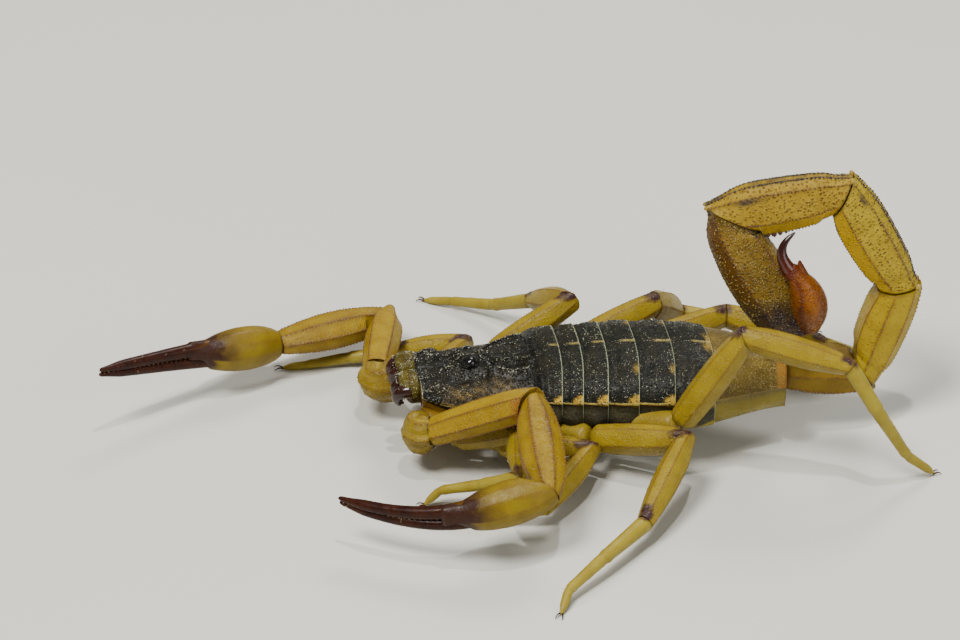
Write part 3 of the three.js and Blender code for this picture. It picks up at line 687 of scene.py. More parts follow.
BEAD, HAIR = ball_template(), hair_template()
print("faces of a bead and of a hair:", len(BEAD.faces), len(HAIR.faces))
BEAD_SUNK = 0.35  # the share of a keel's bead that is set into the shell
HAIR_THICK, HAIR_CLEAR = 0.013, 0.05


def standing(point, outward, size, height=None):
    """The place of a bead or hair that stands on a surface."""
    turn = Vector(outward).to_track_quat("Z", "Y").to_matrix().to_4x4()
    return Matrix.Translation(point) @ turn @ Matrix.Diagonal((size, size, height or size, 1))


def on_shell(spine, outline, distance, turn, share=1.0):
    """A point of a shell, or one under it where the share of its girth is below 1."""
    across, up = outline(distance, turn)
    return spine.place(distance, across * share, up * share)


def bead_on(spine, outline, distance, turn, size):
    """The place of a bead that stands straight out from a shell."""
    point = on_shell(spine, outline, distance, turn)
    return standing(point, point - spine.point(distance), size)


def keel_beads(spine, outline, keel, first, last, pitch, size):
    """Places for a row of grains along one keel."""
    places = []
    count = max(int((last - first) / pitch), 1)
    for k in range(count):
        distance = lerp(first, last, (k + 0.5) / count) + random.uniform(-0.15, 0.15) * pitch
        point = on_shell(spine, outline, distance, keel)
        outward = point - spine.point(distance)
        grain = size * random.uniform(0.75, 1.25)
        places.append(standing(point - outward.normalized() * grain * BEAD_SUNK, outward, grain))
    return places


def bristles(spine, outline, count, length=0.55, turns=(0, 1)):
    """Places for fine hairs that stand here and there on a length, clear of the floor."""
    places = []
    for _ in range(count):
        turn, distance = random.uniform(*turns), random.uniform(0.3, spine.length - 0.3)
        point = on_shell(spine, outline, distance, turn % 1, 0.97)
        ruffle = Vector([random.uniform(-0.4, 0.4) for _ in range(3)])
        tip = (point - spine.point(distance)).normalized() + ruffle
        reach = length * random.uniform(0.5, 1.2)
        if (point + tip.normalized() * reach).z > HAIR_CLEAR:
            places.append(standing(point, tip, HAIR_THICK, reach))
    return places


def dressed(spine, outline, shell, finish, keels, first, stop, pitch, size, hairs, hair_length):
    """A limb's shell with a row of beads on each keel and with its hairs."""
    beads = []
    for keel in keels:
        beads += keel_beads(spine, outline, keel, first, spine.length - stop, pitch, size)
    tufts = bristles(spine, outline, hairs, hair_length)
    return [(shell, finish), (copies(BEAD, beads), BEAD_FINISH), (copies(HAIR, tufts), HAIR_FINISH)]


# %% [markdown]
# ## From meshes to one piece
#
# All that belongs to one plate or length is joined into one object and moved into the imported frame,
# in metres. The piece rides on the animal's body and stands for its solids.

# %% From a mesh to a piece of the animal
SHARP_ANGLE = math.radians(50)


def piece(name, nodes, parts):
    """One object from several meshes, each with its finish. It rides on the animal and stands for
    its nodes of the frame."""
    data = bpy.data.meshes.new(name)
    whole = bmesh.new()
    whole.verts.layers.float_color.new("Marks")
    whole.loops.layers.uv.new("Strip")
    finishes = []
    for bm, finish in parts:
        several = isinstance(finish, list)
        for face in bm.faces:
            face.material_index = len(finishes) + (face.material_index if several else 0)
        finishes += finish if several else [finish]
        bm.to_mesh(data)
        whole.from_mesh(data)
        bm.free()
    bmesh.ops.transform(whole, matrix=TO_FRAME, verts=whole.verts)
    whole.to_mesh(data)
    whole.free()
    for finish in finishes:
        data.materials.append(finish)
    for helper in {"turned", "gone"} & set(data.attributes.keys()):
        data.attributes.remove(data.attributes[helper])
    data.set_sharp_from_angle(angle=SHARP_ANGLE)
    thing = bpy.data.objects.new(name, data)
    bpy.context.scene.collection.objects.link(thing)
    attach(thing, "root")
    if nodes:
        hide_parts(*nodes)
    print(f"{name}: {len(data.polygons)} faces")


# %% [markdown]
# ## The trunk's seven back plates
#
# Each plate is a ring of the body: the dark, grainy back plate on top, soft grey skin on the flank
# and a pale belly plate below. A plate widens a little to the rear, so its edge stands proud of the
# next one. The plates' rear edges carry a pale line of beads, and their rear corners a yellow spot.
# The plates could be cut from one long body, but seven closed shells can tuck under one another as
# the real ones do.

# %% The way the head faces, and the trunk's form
HEAD_TURN = math.radians(7.7)
HEAD_WAY = Vector((-math.cos(HEAD_TURN), -math.sin(HEAD_TURN), 0))
HEAD_LEFT = Vector((math.sin(HEAD_TURN), -math.cos(HEAD_TURN), 0))
NECK = Vector((NECK_X, 0, 0))
NECK_PLANE = (Vector((-1, 0, 0)) + HEAD_WAY).normalized()


def trunk_form(x):
    """Half width and the heights of back, side edge and belly, and how gabled the back is."""
    taper = smooth(PLATE_ENDS[4], WAIST_X + 0.6, x)
    neck = 1 - smooth(NECK_X - 1, PLATE_ENDS[3], x)
    return (4.0 - 0.3 * neck - 2.0 * taper, 6.3 - 0.38 * neck - 0.5 * taper, 4.3 - 0.1 * taper,
            1.4 + 0.2 * neck + 0.95 * taper, 0.85 + 0.2 * neck)


TRUNK_HEIGHT = 3.9  # of the trunk's middle line
TUCK = 0.2  # how far a plate's front edge runs in under the one before it
SKIN_TURN, BELLY_TURN = EDGE_TURN + 0.004, 0.35
BACK_GRAINS, EDGE_BEADS = 480, 100
SPOT_PLATES, FLAP_PLATE = (4, 5), 6


def trunk_bow(point):
    """The plates' edges curve forward at the sides, more so on the right, since the body bends."""
    sideways = 0.6 * smooth(-2.5, 4.0, point.y)
    return Vector((-sideways * (1 - smooth(PLATE_ENDS[5], WAIST_X - 1.0, point.x)), 0, 0))


def body_outline(form, turn, plate_edge=EDGE_TURN):
    """A point of the body's outline: back plate, a ledge at its edge, flank skin and belly plate."""
    wide, back, edge, belly, crown = form
    lift, spread = math.cos(turn * math.tau), math.sin(turn * math.tau)
    side = side_of(turn)
    if lift > 0:
        across = math.copysign(abs(spread) ** 0.88, spread) * wide
        up = edge + (back - edge) * lift ** crown
    else:
        across = math.copysign(abs(spread) ** 1.1, spread) * wide
        up = edge + (belly - edge) * abs(lift) ** 0.7
    inset = 0.16 * smooth(plate_edge - 0.004, plate_edge + 0.008, side)
    inset *= 1 - smooth(0.33, 0.36, side)
    return Vector((across * (1 - inset / wide), up - TRUNK_HEIGHT))


def plate_edges(number):
    """Where a plate starts and ends."""
    edges = [NECK_X - 0.05, *PLATE_ENDS, WAIST_X]
    first = edges[number - 1] - (TUCK if number > 1 else 0)
    return first, edges[number] - (WAIST_GAP if number == LAST_PLATE else 0)


def back_plate(number):
    """One plate's shell, the beads of its edge, its dark grains, its keels' beads and its glints,
    which are lighter beads painted as highlights.
    """
    at_waist = number == LAST_PLATE
    first, last = plate_edges(number)
    length = last - first
    spine = Spine([(first, 0, TRUNK_HEIGHT), (last, 0, TRUNK_HEIGHT)], UPWARD, bow=trunk_bow)
    if number == 1:
        spine.planes[0] = (0.0, NECK_PLANE)
    keel_sides = [0.0, 0.062, 0.118] if at_waist else [0.0]

    def outline(distance, turn):
        share, side = distance / length, side_of(turn)
        flare = 1 + 0.035 * share * (0.3 if at_waist else 1) - 0.02 * smooth(0.35, 0.0, distance)
        point = body_outline(trunk_form(first + distance), turn) * flare
        swell = 0.06 * math.sin(math.pi * smooth(0.0, 1.0, share)) * (1 if side < 0.25 else 0)
        rise = smooth(0.15, 0.6, share)
        for k, keel in enumerate(keel_sides):
            reach = 0.12 if k == 0 else 0.14 * smooth(0.2, 0.5, share)
            swell += reach * rise * max(0, 1 - abs(side - keel) / 0.012)
        if side > 0.25:
            fold = 0.35 * math.sin(math.pi * distance / length)
            swell += fold * smooth(0.25, 0.28, side) * smooth(0.36, 0.30, side)
        groove = 0.08 * bell((distance - 0.36 * length, 0.09))
        swell -= groove * smooth(0.02, 0.06, side) * (side < 0.22)
        return point * (1 + swell / 4)

    def marks(distance, turn):
        side, rear = side_of(turn), length - distance
        dent = 0.07 * noise.noise(Vector((turn * 60, distance * 3, number)))
        on_plate = side < EDGE_TURN + 0.006
        if at_waist:
            band = 0.9 * smooth(0.62, 0.5, rear + dent) * on_plate
            seam = 0.9 * smooth(0.012, 0.004, abs(side - EDGE_TURN - 0.012))
            seam += 0.6 * smooth(0.12, 0.05, rear)
            return min(seam, 1) * (side > EDGE_TURN), band, 0.0
        lobe = math.hypot((side - EDGE_TURN + 0.014) / 0.030, (rear + dent) / 0.66)
        spots = [smooth(1.10, 0.86, lobe)]
        if number in SPOT_PLATES:
            spots.append(0.6 * bell((side - 0.095, 0.012), (rear - 0.1, 0.18)))
        if number == FLAP_PLATE:
            spots.append(0.5 * smooth(0.04, 0.02, side) * smooth(0.45, 0.2, rear + 6 * dent))
            spots.append(smooth(0.300, 0.316, side + 0.1 * dent) * smooth(2.1, 1.7, rear + dent))
        edge_line = 0.85 * smooth(0.045, 0.025, rear) * (side < 0.31)
        dash = smooth(length * 0.50, length * 0.34, rear + dent)
        vein = 0.4 * dash if side < 0.02 else 0.2 < side and on_plate
        return vein, max(spots) * (on_plate or number == FLAP_PLATE), edge_line

    shell = swept(spine, stations(length, 0.12), outline, 96, marks)
    turned = shell.verts.layers.float["turned"]
    for face in shell.faces:
        side = face_side(face, turned)
        face.material_index = 0 if side < SKIN_TURN else 1 if side < BELLY_TURN else 2
    beads, pale_beads, dark_beads, glints = [], [], [], []
    half = EDGE_TURN - 0.006
    count = int(EDGE_BEADS * trunk_form(last)[0] / 4)
    for k in range(count + 1):
        turn = lerp(-half, half, k / count) + random.uniform(-0.2, 0.2) / count
        across, up = outline(length, turn)
        point = spine.place(length - 0.05, across * 0.995, up * 0.995)
        grain = random.uniform(0.016, 0.028) * (1.8 if at_waist else 1)
        pale_beads.append(standing(point, (0.3, -across, up), grain))
    for _ in range(int(BACK_GRAINS * length)):
        turn, distance = random.uniform(-0.235, 0.235), random.uniform(0.08, length - 0.10)
        across, up = outline(distance, turn)
        share = distance / length
        crowd = noise.noise(Vector((turn * 14, distance * 1.6, number * 7)))
        if random.random() > 0.25 + 0.55 * share + 0.7 * crowd:
            continue
        point = spine.place(distance, across * 0.998, up * 0.998)
        grain = random.uniform(0.014, 0.030) * lerp(0.8, 1.2, share)
        bright = random.random() < 0.24 + 0.3 * crowd
        grain *= 1.1 if bright else 1.5
        (glints if bright else dark_beads).append(standing(point, (0, -across, up), grain))
    for keel in keel_sides:
        for turn in {keel, -keel}:
            beads += keel_beads(spine, outline, turn, length * 0.3, length - 0.05, 0.14, 0.022)
    return shell, pale_beads, dark_beads, beads, glints


# %% Make the seven plates
PLATE_SKINS = [BACK_FINISH, SKIN_FINISH, BELLY_FINISH]
WAIST_SKINS = [WAIST_FINISH, WAIST_SKIN_FINISH, BELLY_FINISH]
# The last finish of each list colours the glints: painted highlights.
PLATE_BEADS = [PALE_BEAD_FINISH, DARK_BEAD_FINISH, PALE_BEAD_FINISH, GLINT_BEAD_FINISH]
WAIST_BEADS = [BEAD_FINISH, OLIVE_BEAD_FINISH, OLIVE_BEAD_FINISH, OLIVE_BEAD_FINISH]

for number in range(1, LAST_PLATE + 1):
    at_waist = number == LAST_PLATE
    shell, *kinds = back_plate(number)
    tints = WAIST_BEADS if at_waist else PLATE_BEADS
    piece(f"back_plate_{number}", [f"mesosoma_{number}"], [
        (shell, WAIST_SKINS if at_waist else PLATE_SKINS),
        *[(copies(BEAD, places), tint) for places, tint in zip(kinds, tints)],
    ])


# %% [markdown]
# ## The head
#
# The head shield is one grainy plate with a furrow along its middle. The two middle eyes sit on a
# mound a little in front of its centre, and low ridges run forward from them. Below its side edges
# the bases of the limbs show, glossy and brown. The relief could be sculpted. Here it is a sum of
# soft bumps, so that each ridge has a name, a place and a height that can be changed by itself.

# %% The head shield
HEAD_LENGTH = 7.35
HEAD_MIDDLE = UPWARD * TRUNK_HEIGHT
SHIELD_TURN = 0.255


def head_form(x):
    """The head's half width, its heights and how gabled it is, `x` forward of the neck."""
    forward = min(max(x / HEAD_LENGTH, 0), 1)
    nose = smooth(HEAD_LENGTH - 1.6, HEAD_LENGTH + 0.4, x)
    arch = math.sin(math.pi * forward)
    wide = lerp(3.75, 2.45, forward) + 0.22 * arch - 0.15 * nose
    back = lerp(5.92, 5.1, forward) - 0.1 * nose
    edge = lerp(4.15, 4.5, forward ** 3) - 0.30 * arch
    return wide, back, edge, 1.6 + 1.9 * nose, 1.05 + 0.95 * arch


def rear_keel_line(x):
    """How far from the middle the rear keel runs."""
    return lerp(1.05, 0.6, x / 3.4)


def side_keel_line(x):
    """How far from the middle the side keel runs."""
    return 1.35 + 0.45 * math.cos((x - 1.3) * 1.1)


def brow_line(x):
    """How far from the middle the brow runs, from the eyes to the front edge."""
    return lerp(0.45, 1.2, smooth(4.6, 7.2, x))


def head_relief(x, y):
    """How far the shield stands off its plain form, `x` forward of the neck, `y` from its middle."""
    side = abs(y)

    def ridge(height, line, width, start, end):
        swell = height * bell((side - line, width))
        return swell * smooth(start - 0.5, start, x) * smooth(end + 0.5, end, x)

    mound = 0.52 * math.exp(-(abs(x - 4.3) / 0.95) ** 3 - (max(side - 0.36, 0) / 0.30) ** 2)
    furrow = -0.16 * bell((side, 0.13)) * smooth(0.1, 0.7, x)
    brow = ridge(0.24, brow_line(x), 0.16, 4.9, 7.2)
    rear_keel = ridge(0.26, rear_keel_line(x), 0.13, 0.3, 2.9)
    side_keel = ridge(0.24, side_keel_line(x), 0.16, 0.8, 3.0)
    rear_valley = ridge(-0.22, lerp(1.25, 0.85, x / 3.6), 0.2, 0.9, 3.2)
    valleys = rear_valley + ridge(-0.24, 1.5, 0.3, 3.6, 5.6)
    rear_groove = -0.16 * bell((x - 0.45, 0.15))
    side_eyes = 0.30 * math.exp(-(abs(x - 6.45) / 0.55) ** 4 - ((side - 2.0) / 0.24) ** 2)
    flank = 0.10 * bell((x - 4.6, 0.9), (side - 2.3, 0.4))
    notch = -0.30 * bell((x - 7.35, 0.4), (side, 0.35))
    front = 0.14 * bell((x - 7.2, 0.15))
    peak = 0.28 * bell((x - 7.25, 0.4), (side - 0.62, 0.3))
    lumps = 0.05 * noise.noise(Vector((x * 2.2, y * 2.2, 5)))
    return (mound + furrow + brow + rear_keel + side_keel + valleys + rear_groove + side_eyes + flank
            + notch + front + peak + lumps)


def head_bow(point):
    """The rear edge follows the first plate's, and two small lobes stand out in front."""
    forward, sideways = (point - NECK).dot(HEAD_WAY), (point - NECK).dot(HEAD_LEFT)
    lobes = 0.42 * bell((abs(sideways) - 0.5, 0.5)) * smooth(6.2, 7.3, forward)
    rear = trunk_bow(point) * (1 - smooth(0.0, 2.6, forward))
    return rear + HEAD_WAY * lobes * smooth(3.9, 4.8, point.z)


HEAD_SPINE = Spine([NECK + HEAD_MIDDLE, NECK + HEAD_WAY * HEAD_LENGTH + HEAD_MIDDLE], UPWARD,
                   first_plane=NECK_PLANE, bow=head_bow)


def head_outline(distance, turn):
    point = body_outline(head_form(distance), turn, SHIELD_TURN)
    if turn < 0.25 or turn > 0.75:
        point.y += head_relief(distance, point.x) * (1 - smooth(0.2, 0.25, side_of(turn)))
    return point


def head_marks(distance, turn):
    side = side_of(turn)
    cloud = smooth(-0.25, 0.45, noise.noise(Vector((turn * 55, distance * 2.6, 0))))
    patch = 0.85 * bell((side - 0.145, 0.036), (distance - 4.7, 1.1))
    patch += 0.5 * bell((side - 0.12, 0.035), (distance - 2.8, 0.9))
    patch += 0.9 * bell((side - 0.222, 0.02), (distance - 5.7, 0.7))
    edge = smooth(2.0, 3.6, distance) * (side < SHIELD_TURN - 0.0005)
    return edge, min(patch * (0.25 + 0.9 * cloud), 0.9), 0


def on_head(x, y, z):
    """A point given forward of the neck, to the head's left and up from the floor."""
    return NECK + HEAD_WAY * x + HEAD_LEFT * y + Vector((0, 0, z))


shield = swept(HEAD_SPINE, stations(HEAD_LENGTH - 0.06, 0.1), head_outline, 120, head_marks)
turned = shield.verts.layers.float["turned"]
for face in shield.faces:
    face.material_index = 0 if face_side(face, turned) < SHIELD_TURN + 0.001 else 1

# %% The shield's grains
EYE_X, EYE_Y, EYE_Z, EYE_SIZE = 4.25, 0.58, 5.55, 0.42
HEAD_GRAINS, ROW_GRAINS, RIM_GRAINS = 9000, 110, 42
SIDE_EYES = ((6.95, 0.13), (6.68, 0.15), (6.38, 0.14))
HEAD_TURNED = Matrix((HEAD_WAY, HEAD_LEFT, UPWARD)).transposed().to_4x4()
# The glints are pale beads: painted highlights on the grains.
head_beads, head_glints = [], []


def grain_on_head(x, y, size, bright):
    """One grain of the shield, `x` forward of the neck and about `y` from its middle."""
    turn = math.asin(min(abs(y) / head_form(x)[0], 1) ** (1 / 0.88)) / math.tau
    across, up = head_outline(x, turn if y > 0 else 1 - turn)
    spot = standing(HEAD_SPINE.place(x, across, up), (0, across, up + 1), size)
    (head_glints if bright else head_beads).append(spot)


for _ in range(HEAD_GRAINS):
    x, y = random.uniform(0.1, HEAD_LENGTH - 0.12), random.uniform(-3.4, 3.4)
    near_eye = math.hypot((x - EYE_X) / 1.3, abs(y) - EYE_Y) < EYE_SIZE + 0.06
    if abs(y) > head_form(x)[0] - 0.05 or near_eye:
        continue
    relief = head_relief(x, y)
    crowd = noise.noise(Vector((x * 1.5, y * 1.5, 3)))
    forward = smooth(3.0, 6.5, x)
    if random.random() > 0.10 + 0.6 * max(relief, 0) / 0.2 + 0.5 * crowd + 0.22 * forward:
        continue
    raised = relief > 0.07
    bright = random.random() < (0.30 if raised else 0.20)
    size = random.uniform(0.016, 0.030) if raised else random.uniform(0.012, 0.022)
    grain_on_head(x, y, size * (1.25 if bright else 1.8), bright)
for k in range(ROW_GRAINS):
    x, bright = lerp(0.4, 7.2, k / (ROW_GRAINS - 1)), k % 2 > 0
    for side in (-1, 1):
        for line, ends in ((rear_keel_line, (0.6, 2.7)), (side_keel_line, (0.7, 2.6))):
            if ends[0] < x < ends[1]:
                y = side * (line(x) + random.uniform(-0.06, 0.06))
                grain_on_head(x, y, random.uniform(0.016, 0.034), bright)
        if x > 4.9:
            y = side * (brow_line(x) + random.uniform(-0.12, 0.12))
            grain_on_head(x, y, random.uniform(0.018, 0.04), bright)
for k in range(ROW_GRAINS):
    turn = lerp(-0.24, 0.24, k / (ROW_GRAINS - 1)) % 1
    across, up = head_outline(HEAD_LENGTH - 0.1, turn)
    spot = HEAD_SPINE.place(HEAD_LENGTH - 0.06, across, up)
    place = standing(spot, (-1, 0, 0.6), random.uniform(0.028, 0.05))
    (head_glints if k % 2 else head_beads).append(place)

# %% The eyes' sockets and rims, and the side eyes
sockets, side_eyes = [], []
for side in (LEFT, RIGHT):
    socket = Matrix.Translation(on_head(EYE_X, -side * EYE_Y * 0.9, EYE_Z - 0.10))
    sockets.append(socket @ HEAD_TURNED @ Matrix.Diagonal((0.62, 0.46, 0.42, 1)))
    for x, size in SIDE_EYES:
        spot = on_shell(HEAD_SPINE, head_outline, x, 0.215 if side == RIGHT else 0.785)
        side_eyes.append(standing(spot, (0, side, 0.6), size))
    for k in range(RIM_GRAINS):
        around = lerp(-0.75, 3.9, k / (RIM_GRAINS - 1))
        spot = on_head(EYE_X + 0.66 * math.cos(around), -side * (EYE_Y - 0.16 * math.sin(around)),
                       EYE_Z - 0.02 + 0.34 * math.sin(around))
        place = standing(spot, (0, side, 0.8), random.uniform(0.030, 0.046))
        (head_glints if k % 4 else head_beads).append(place)
print("grains on the head:", len(head_beads) + len(head_glints))

# %% Bases of the claw arms, under the head shield
ARMS = [
    (LEFT, [-10.8, -1.9, 2.75], [-12.5, -3.3, 2.65], [-13.15, -4.5, 2.85], [-12.21, -4.62, 3.05],
     [(6.9, -16, 28), (7.0, -83, -13), (5.0, 189, -13), (7.45, 163, -3)]),
    (RIGHT, [-11.0, 0.4, 2.75], [-13.3, 1.35, 2.65], [-15.7, 0.95, 2.75], [-15.55, 1.9, 3.05],
     [(6.9, 86, -6), (7.2, -155, 1), (5.0, -151, 9), (7.45, -144, 12)]),
]


def arm_base(hip, shoulder):
    spine = Spine([hip, shoulder], UPWARD)

    def outline(distance, turn):
        size = 0.95 + 0.05 * math.sin(math.tau * turn * 3)
        return oval(turn, size, size * 1.02, size, 0.9)

    return swept(spine, stations(spine.length, 0.2, "dome"), outline, 32, lambda *_: (0.12, 0, 0))


BASE_FINISH = cuticle("limb_base", (0.24, 0.14, 0.008), (0.14, 0.07, 0.006), relief=0.01, gloss=0.22,
    **GLOW)
piece("head_shield", ["prosoma"], [
    (shield, [HEAD_FINISH, BASE_FINISH]),
    (copies(BEAD, head_beads), DARK_BEAD_FINISH),
    (copies(BEAD, head_glints), GLINT_BEAD_FINISH),
    (copies(ball_template(3), sockets), SOCKET_FINISH),
    (copies(ball_template(2), side_eyes), EYE_FINISH),
    *[(arm_base(hip, shoulder), BASE_FINISH) for _, hip, shoulder, *_ in ARMS],
])

# %% The two middle eyes
for side in (LEFT, RIGHT):
    place = Matrix.Translation(on_head(EYE_X, -side * EYE_Y, EYE_Z)) @ Matrix.Scale(EYE_SIZE, 4)
    ball = copies(ball_template(3), [place])
    name = SIDE_NAMES[side]
    piece(f"middle_eye_{name}", [f"eye_median_{name}"], [(ball, EYE_FINISH)])

# %% [markdown]
# ## Jaws
#
# In front of the shield sit two small jaws, each a plump hand with a fixed and a movable finger.
# The hand is a shell with a slightly lumpy oval. Each finger is a thin shell along a curve that hooks
# down, because an extruded ring follows a curve more evenly than a bent cone does.

# %% The jaws
JAW_GRAINS = 170
JAW_FINGERS = ((-0.42, 0.42), (0.60, 0.46))  # how far aside each starts, and how thick
JAW_TEETH = (1.0, 1.25, 1.5, 1.75)


def jaw(side):
    def jaw_point(x, y, z):
        return on_head(7.1 + x, -side * (1.0 + y), 4.45 + z)

    line = [jaw_point(0.31, 0, 0.1), jaw_point(0.8, 0, 0.08), jaw_point(1.3, 0, -0.12)]
    spine = Spine(line, UPWARD)

    def outline(distance, turn):
        lump = 0.05 * noise.noise(Vector((turn * 9, distance * 3, side)))
        return oval(turn, 0.94 + lump, 0.86 + lump, 0.98 + lump, 0.74)

    def marks(distance, turn):
        lift, spread = math.cos(turn * math.tau), math.sin(turn * math.tau)
        net = abs(noise.noise(Vector((lift * 2.2, spread * 2.2, distance * 2.4))))
        under = smooth(0.20, 0.30, side_of(turn)) * smooth(0.3, 0.7, distance)
        return max(0.7 * under, 0.35 * smooth(0.08, 0.0, net)), 0.4 * smooth(0.10, 0.02, net), 0

    hand = swept(spine, stations(spine.length, 0.07, "rim", "dome", 0.4), outline, 64, marks)
    grains = []
    for _ in range(JAW_GRAINS):
        turn, distance = random.uniform(-0.27, 0.27), random.uniform(0.1, spine.length)
        grains.append(bead_on(spine, outline, distance, turn % 1, random.uniform(0.013, 0.026)))
    parts = [(hand, JAW_FINISH), (copies(BEAD, grains), PALE_BEAD_FINISH)]
    for aside, thick in JAW_FINGERS:
        tine = Spine(curve_points(jaw_point(0.75, aside, 0.20), jaw_point(2.10, aside * 1.1, 0.15),
                                  jaw_point(1.40, aside * 0.45, -1.00)), HEAD_WAY + UPWARD * 0.4)

        def girth(distance, turn):
            return round_girth(turn, lerp(thick, 0.12, (distance / tine.length) ** 1.3))

        rings = stations(tine.length, 0.07, "dome", "dome", 0.12)
        parts.append((swept(tine, rings, girth, 32), CLAW_FINISH))
        teeth = [standing(tine.place(at, 0, -0.24), (0.6, 0, -1), 0.10) for at in JAW_TEETH]
        parts.append((copies(ball_template(2), teeth), CLAW_FINISH))
    return parts


for side in (LEFT, RIGHT):
    piece(f"jaw_{SIDE_NAMES[side]}", [f"chelicera_{SIDE_NAMES[side]}"], jaw(side))

# %% [markdown]
# ## Combs
#
# Under the trunk a scorpion carries a pair of combs, which feel the ground. Each is a flat stem with
# a row of soft blunt teeth along its rear edge. All the teeth are one ball, stretched and repeated.

# %% The combs
COMB_LENGTH, COMB_TEETH, COMB_TURN = 3.5, 20, math.radians(42)


def comb(side):
    root = Vector((-2.3, side * 0.75, 1.05))
    outward = Vector((math.cos(COMB_TURN), side * math.sin(COMB_TURN), 0))
    rearward = Vector((math.sin(COMB_TURN), -side * math.cos(COMB_TURN), 0))
    stem_line = [root - rearward * 0.35, root - rearward * 0.45 + outward * 2, root + outward * 3.7]
    spine = Spine(stem_line, rearward)

    def outline(distance, turn):
        share = distance / spine.length
        return oval(turn, lerp(0.24, 0.14, share), 0.34, lerp(0.42, 0.1, share), 0.8)

    stem = swept(spine, stations(spine.length, 0.15, "dome", "dome", 0.25), outline, 28)
    turned = Matrix((outward, rearward, UPWARD)).transposed().to_4x4()
    teeth = []
    for k in range(COMB_TEETH):
        point = root + outward * (k + 0.6) * COMB_LENGTH / COMB_TEETH + rearward * 0.22
        teeth.append(Matrix.Translation(point) @ turned @ Matrix.Diagonal((0.078, 0.30, 0.17, 1)))
    return [(stem, FOOT_FINISH), (copies(ball_template(2), teeth), FOOT_FINISH)]


for side in (LEFT, RIGHT):
    piece(f"comb_{SIDE_NAMES[side]}", [f"pecten_{SIDE_NAMES[side]}"], comb(side))

# %% [markdown]
# ## The tail
#
# Five rings curl up and forward over the back. Each is a tube with lengthwise keels, rows of small
# red-brown grains, and widens to its far end. The last ring is darker, longer and grainy all over.
# The oval is flattened between the keels, so a ring stays one closed shell, and only the grains are
# meshes of their own.

# %% Lengths between joints
def limb_spine(joints, index, back, lean=1.6, start_free=False):
    """The middle line of one length of a limb. It stops short of the planes at its two joints."""
    near, far = joints[index], joints[index + 1]
    along = (far - near).normalized()
    first = None if start_free or not index else bend_plane(joints[index - 1], near, far)
    last = bend_plane(near, far, joints[index + 2]) if index + 2 < len(joints) else None
    start = near + along * (SEAM / along.dot(first or along))
    end = far - along * (SEAM / along.dot(last or along))
    return Spine([start, end], back, first, last, lean)


TAIL_ROOT = (8.64, 0.4, 4.06)
TAIL_RUNS = [(4.74, 5, -3), (6.12, 6, 73), (7.25, 180, 61), (7.0, 180, -11.6), (8.55, -22, -55.4)]
TAIL_DEPTHS = [3.3, 3.3, 3.35, 3.5, 3.7]
TAIL_HALF_WIDTH = 1.55
TAIL_JOINTS = joints_of(TAIL_ROOT, TAIL_RUNS)
LAST_RING, ARCH_RINGS, TOOTHED_RING = 4, (2, 3), 3
TAIL_GRAINS = [24, 60, 230, 230, 190]  # for each millimetre
TAIL_FINISHES = [ROOT_FINISH, TAIL_FINISH, GOLD_FINISH, ARCH_FINISH, LAST_RING_FINISH]
KEEL_TEETH = (0.10, 0.15, 0.19, 0.16)
KNOB_TURNS = (0.42, 0.58)


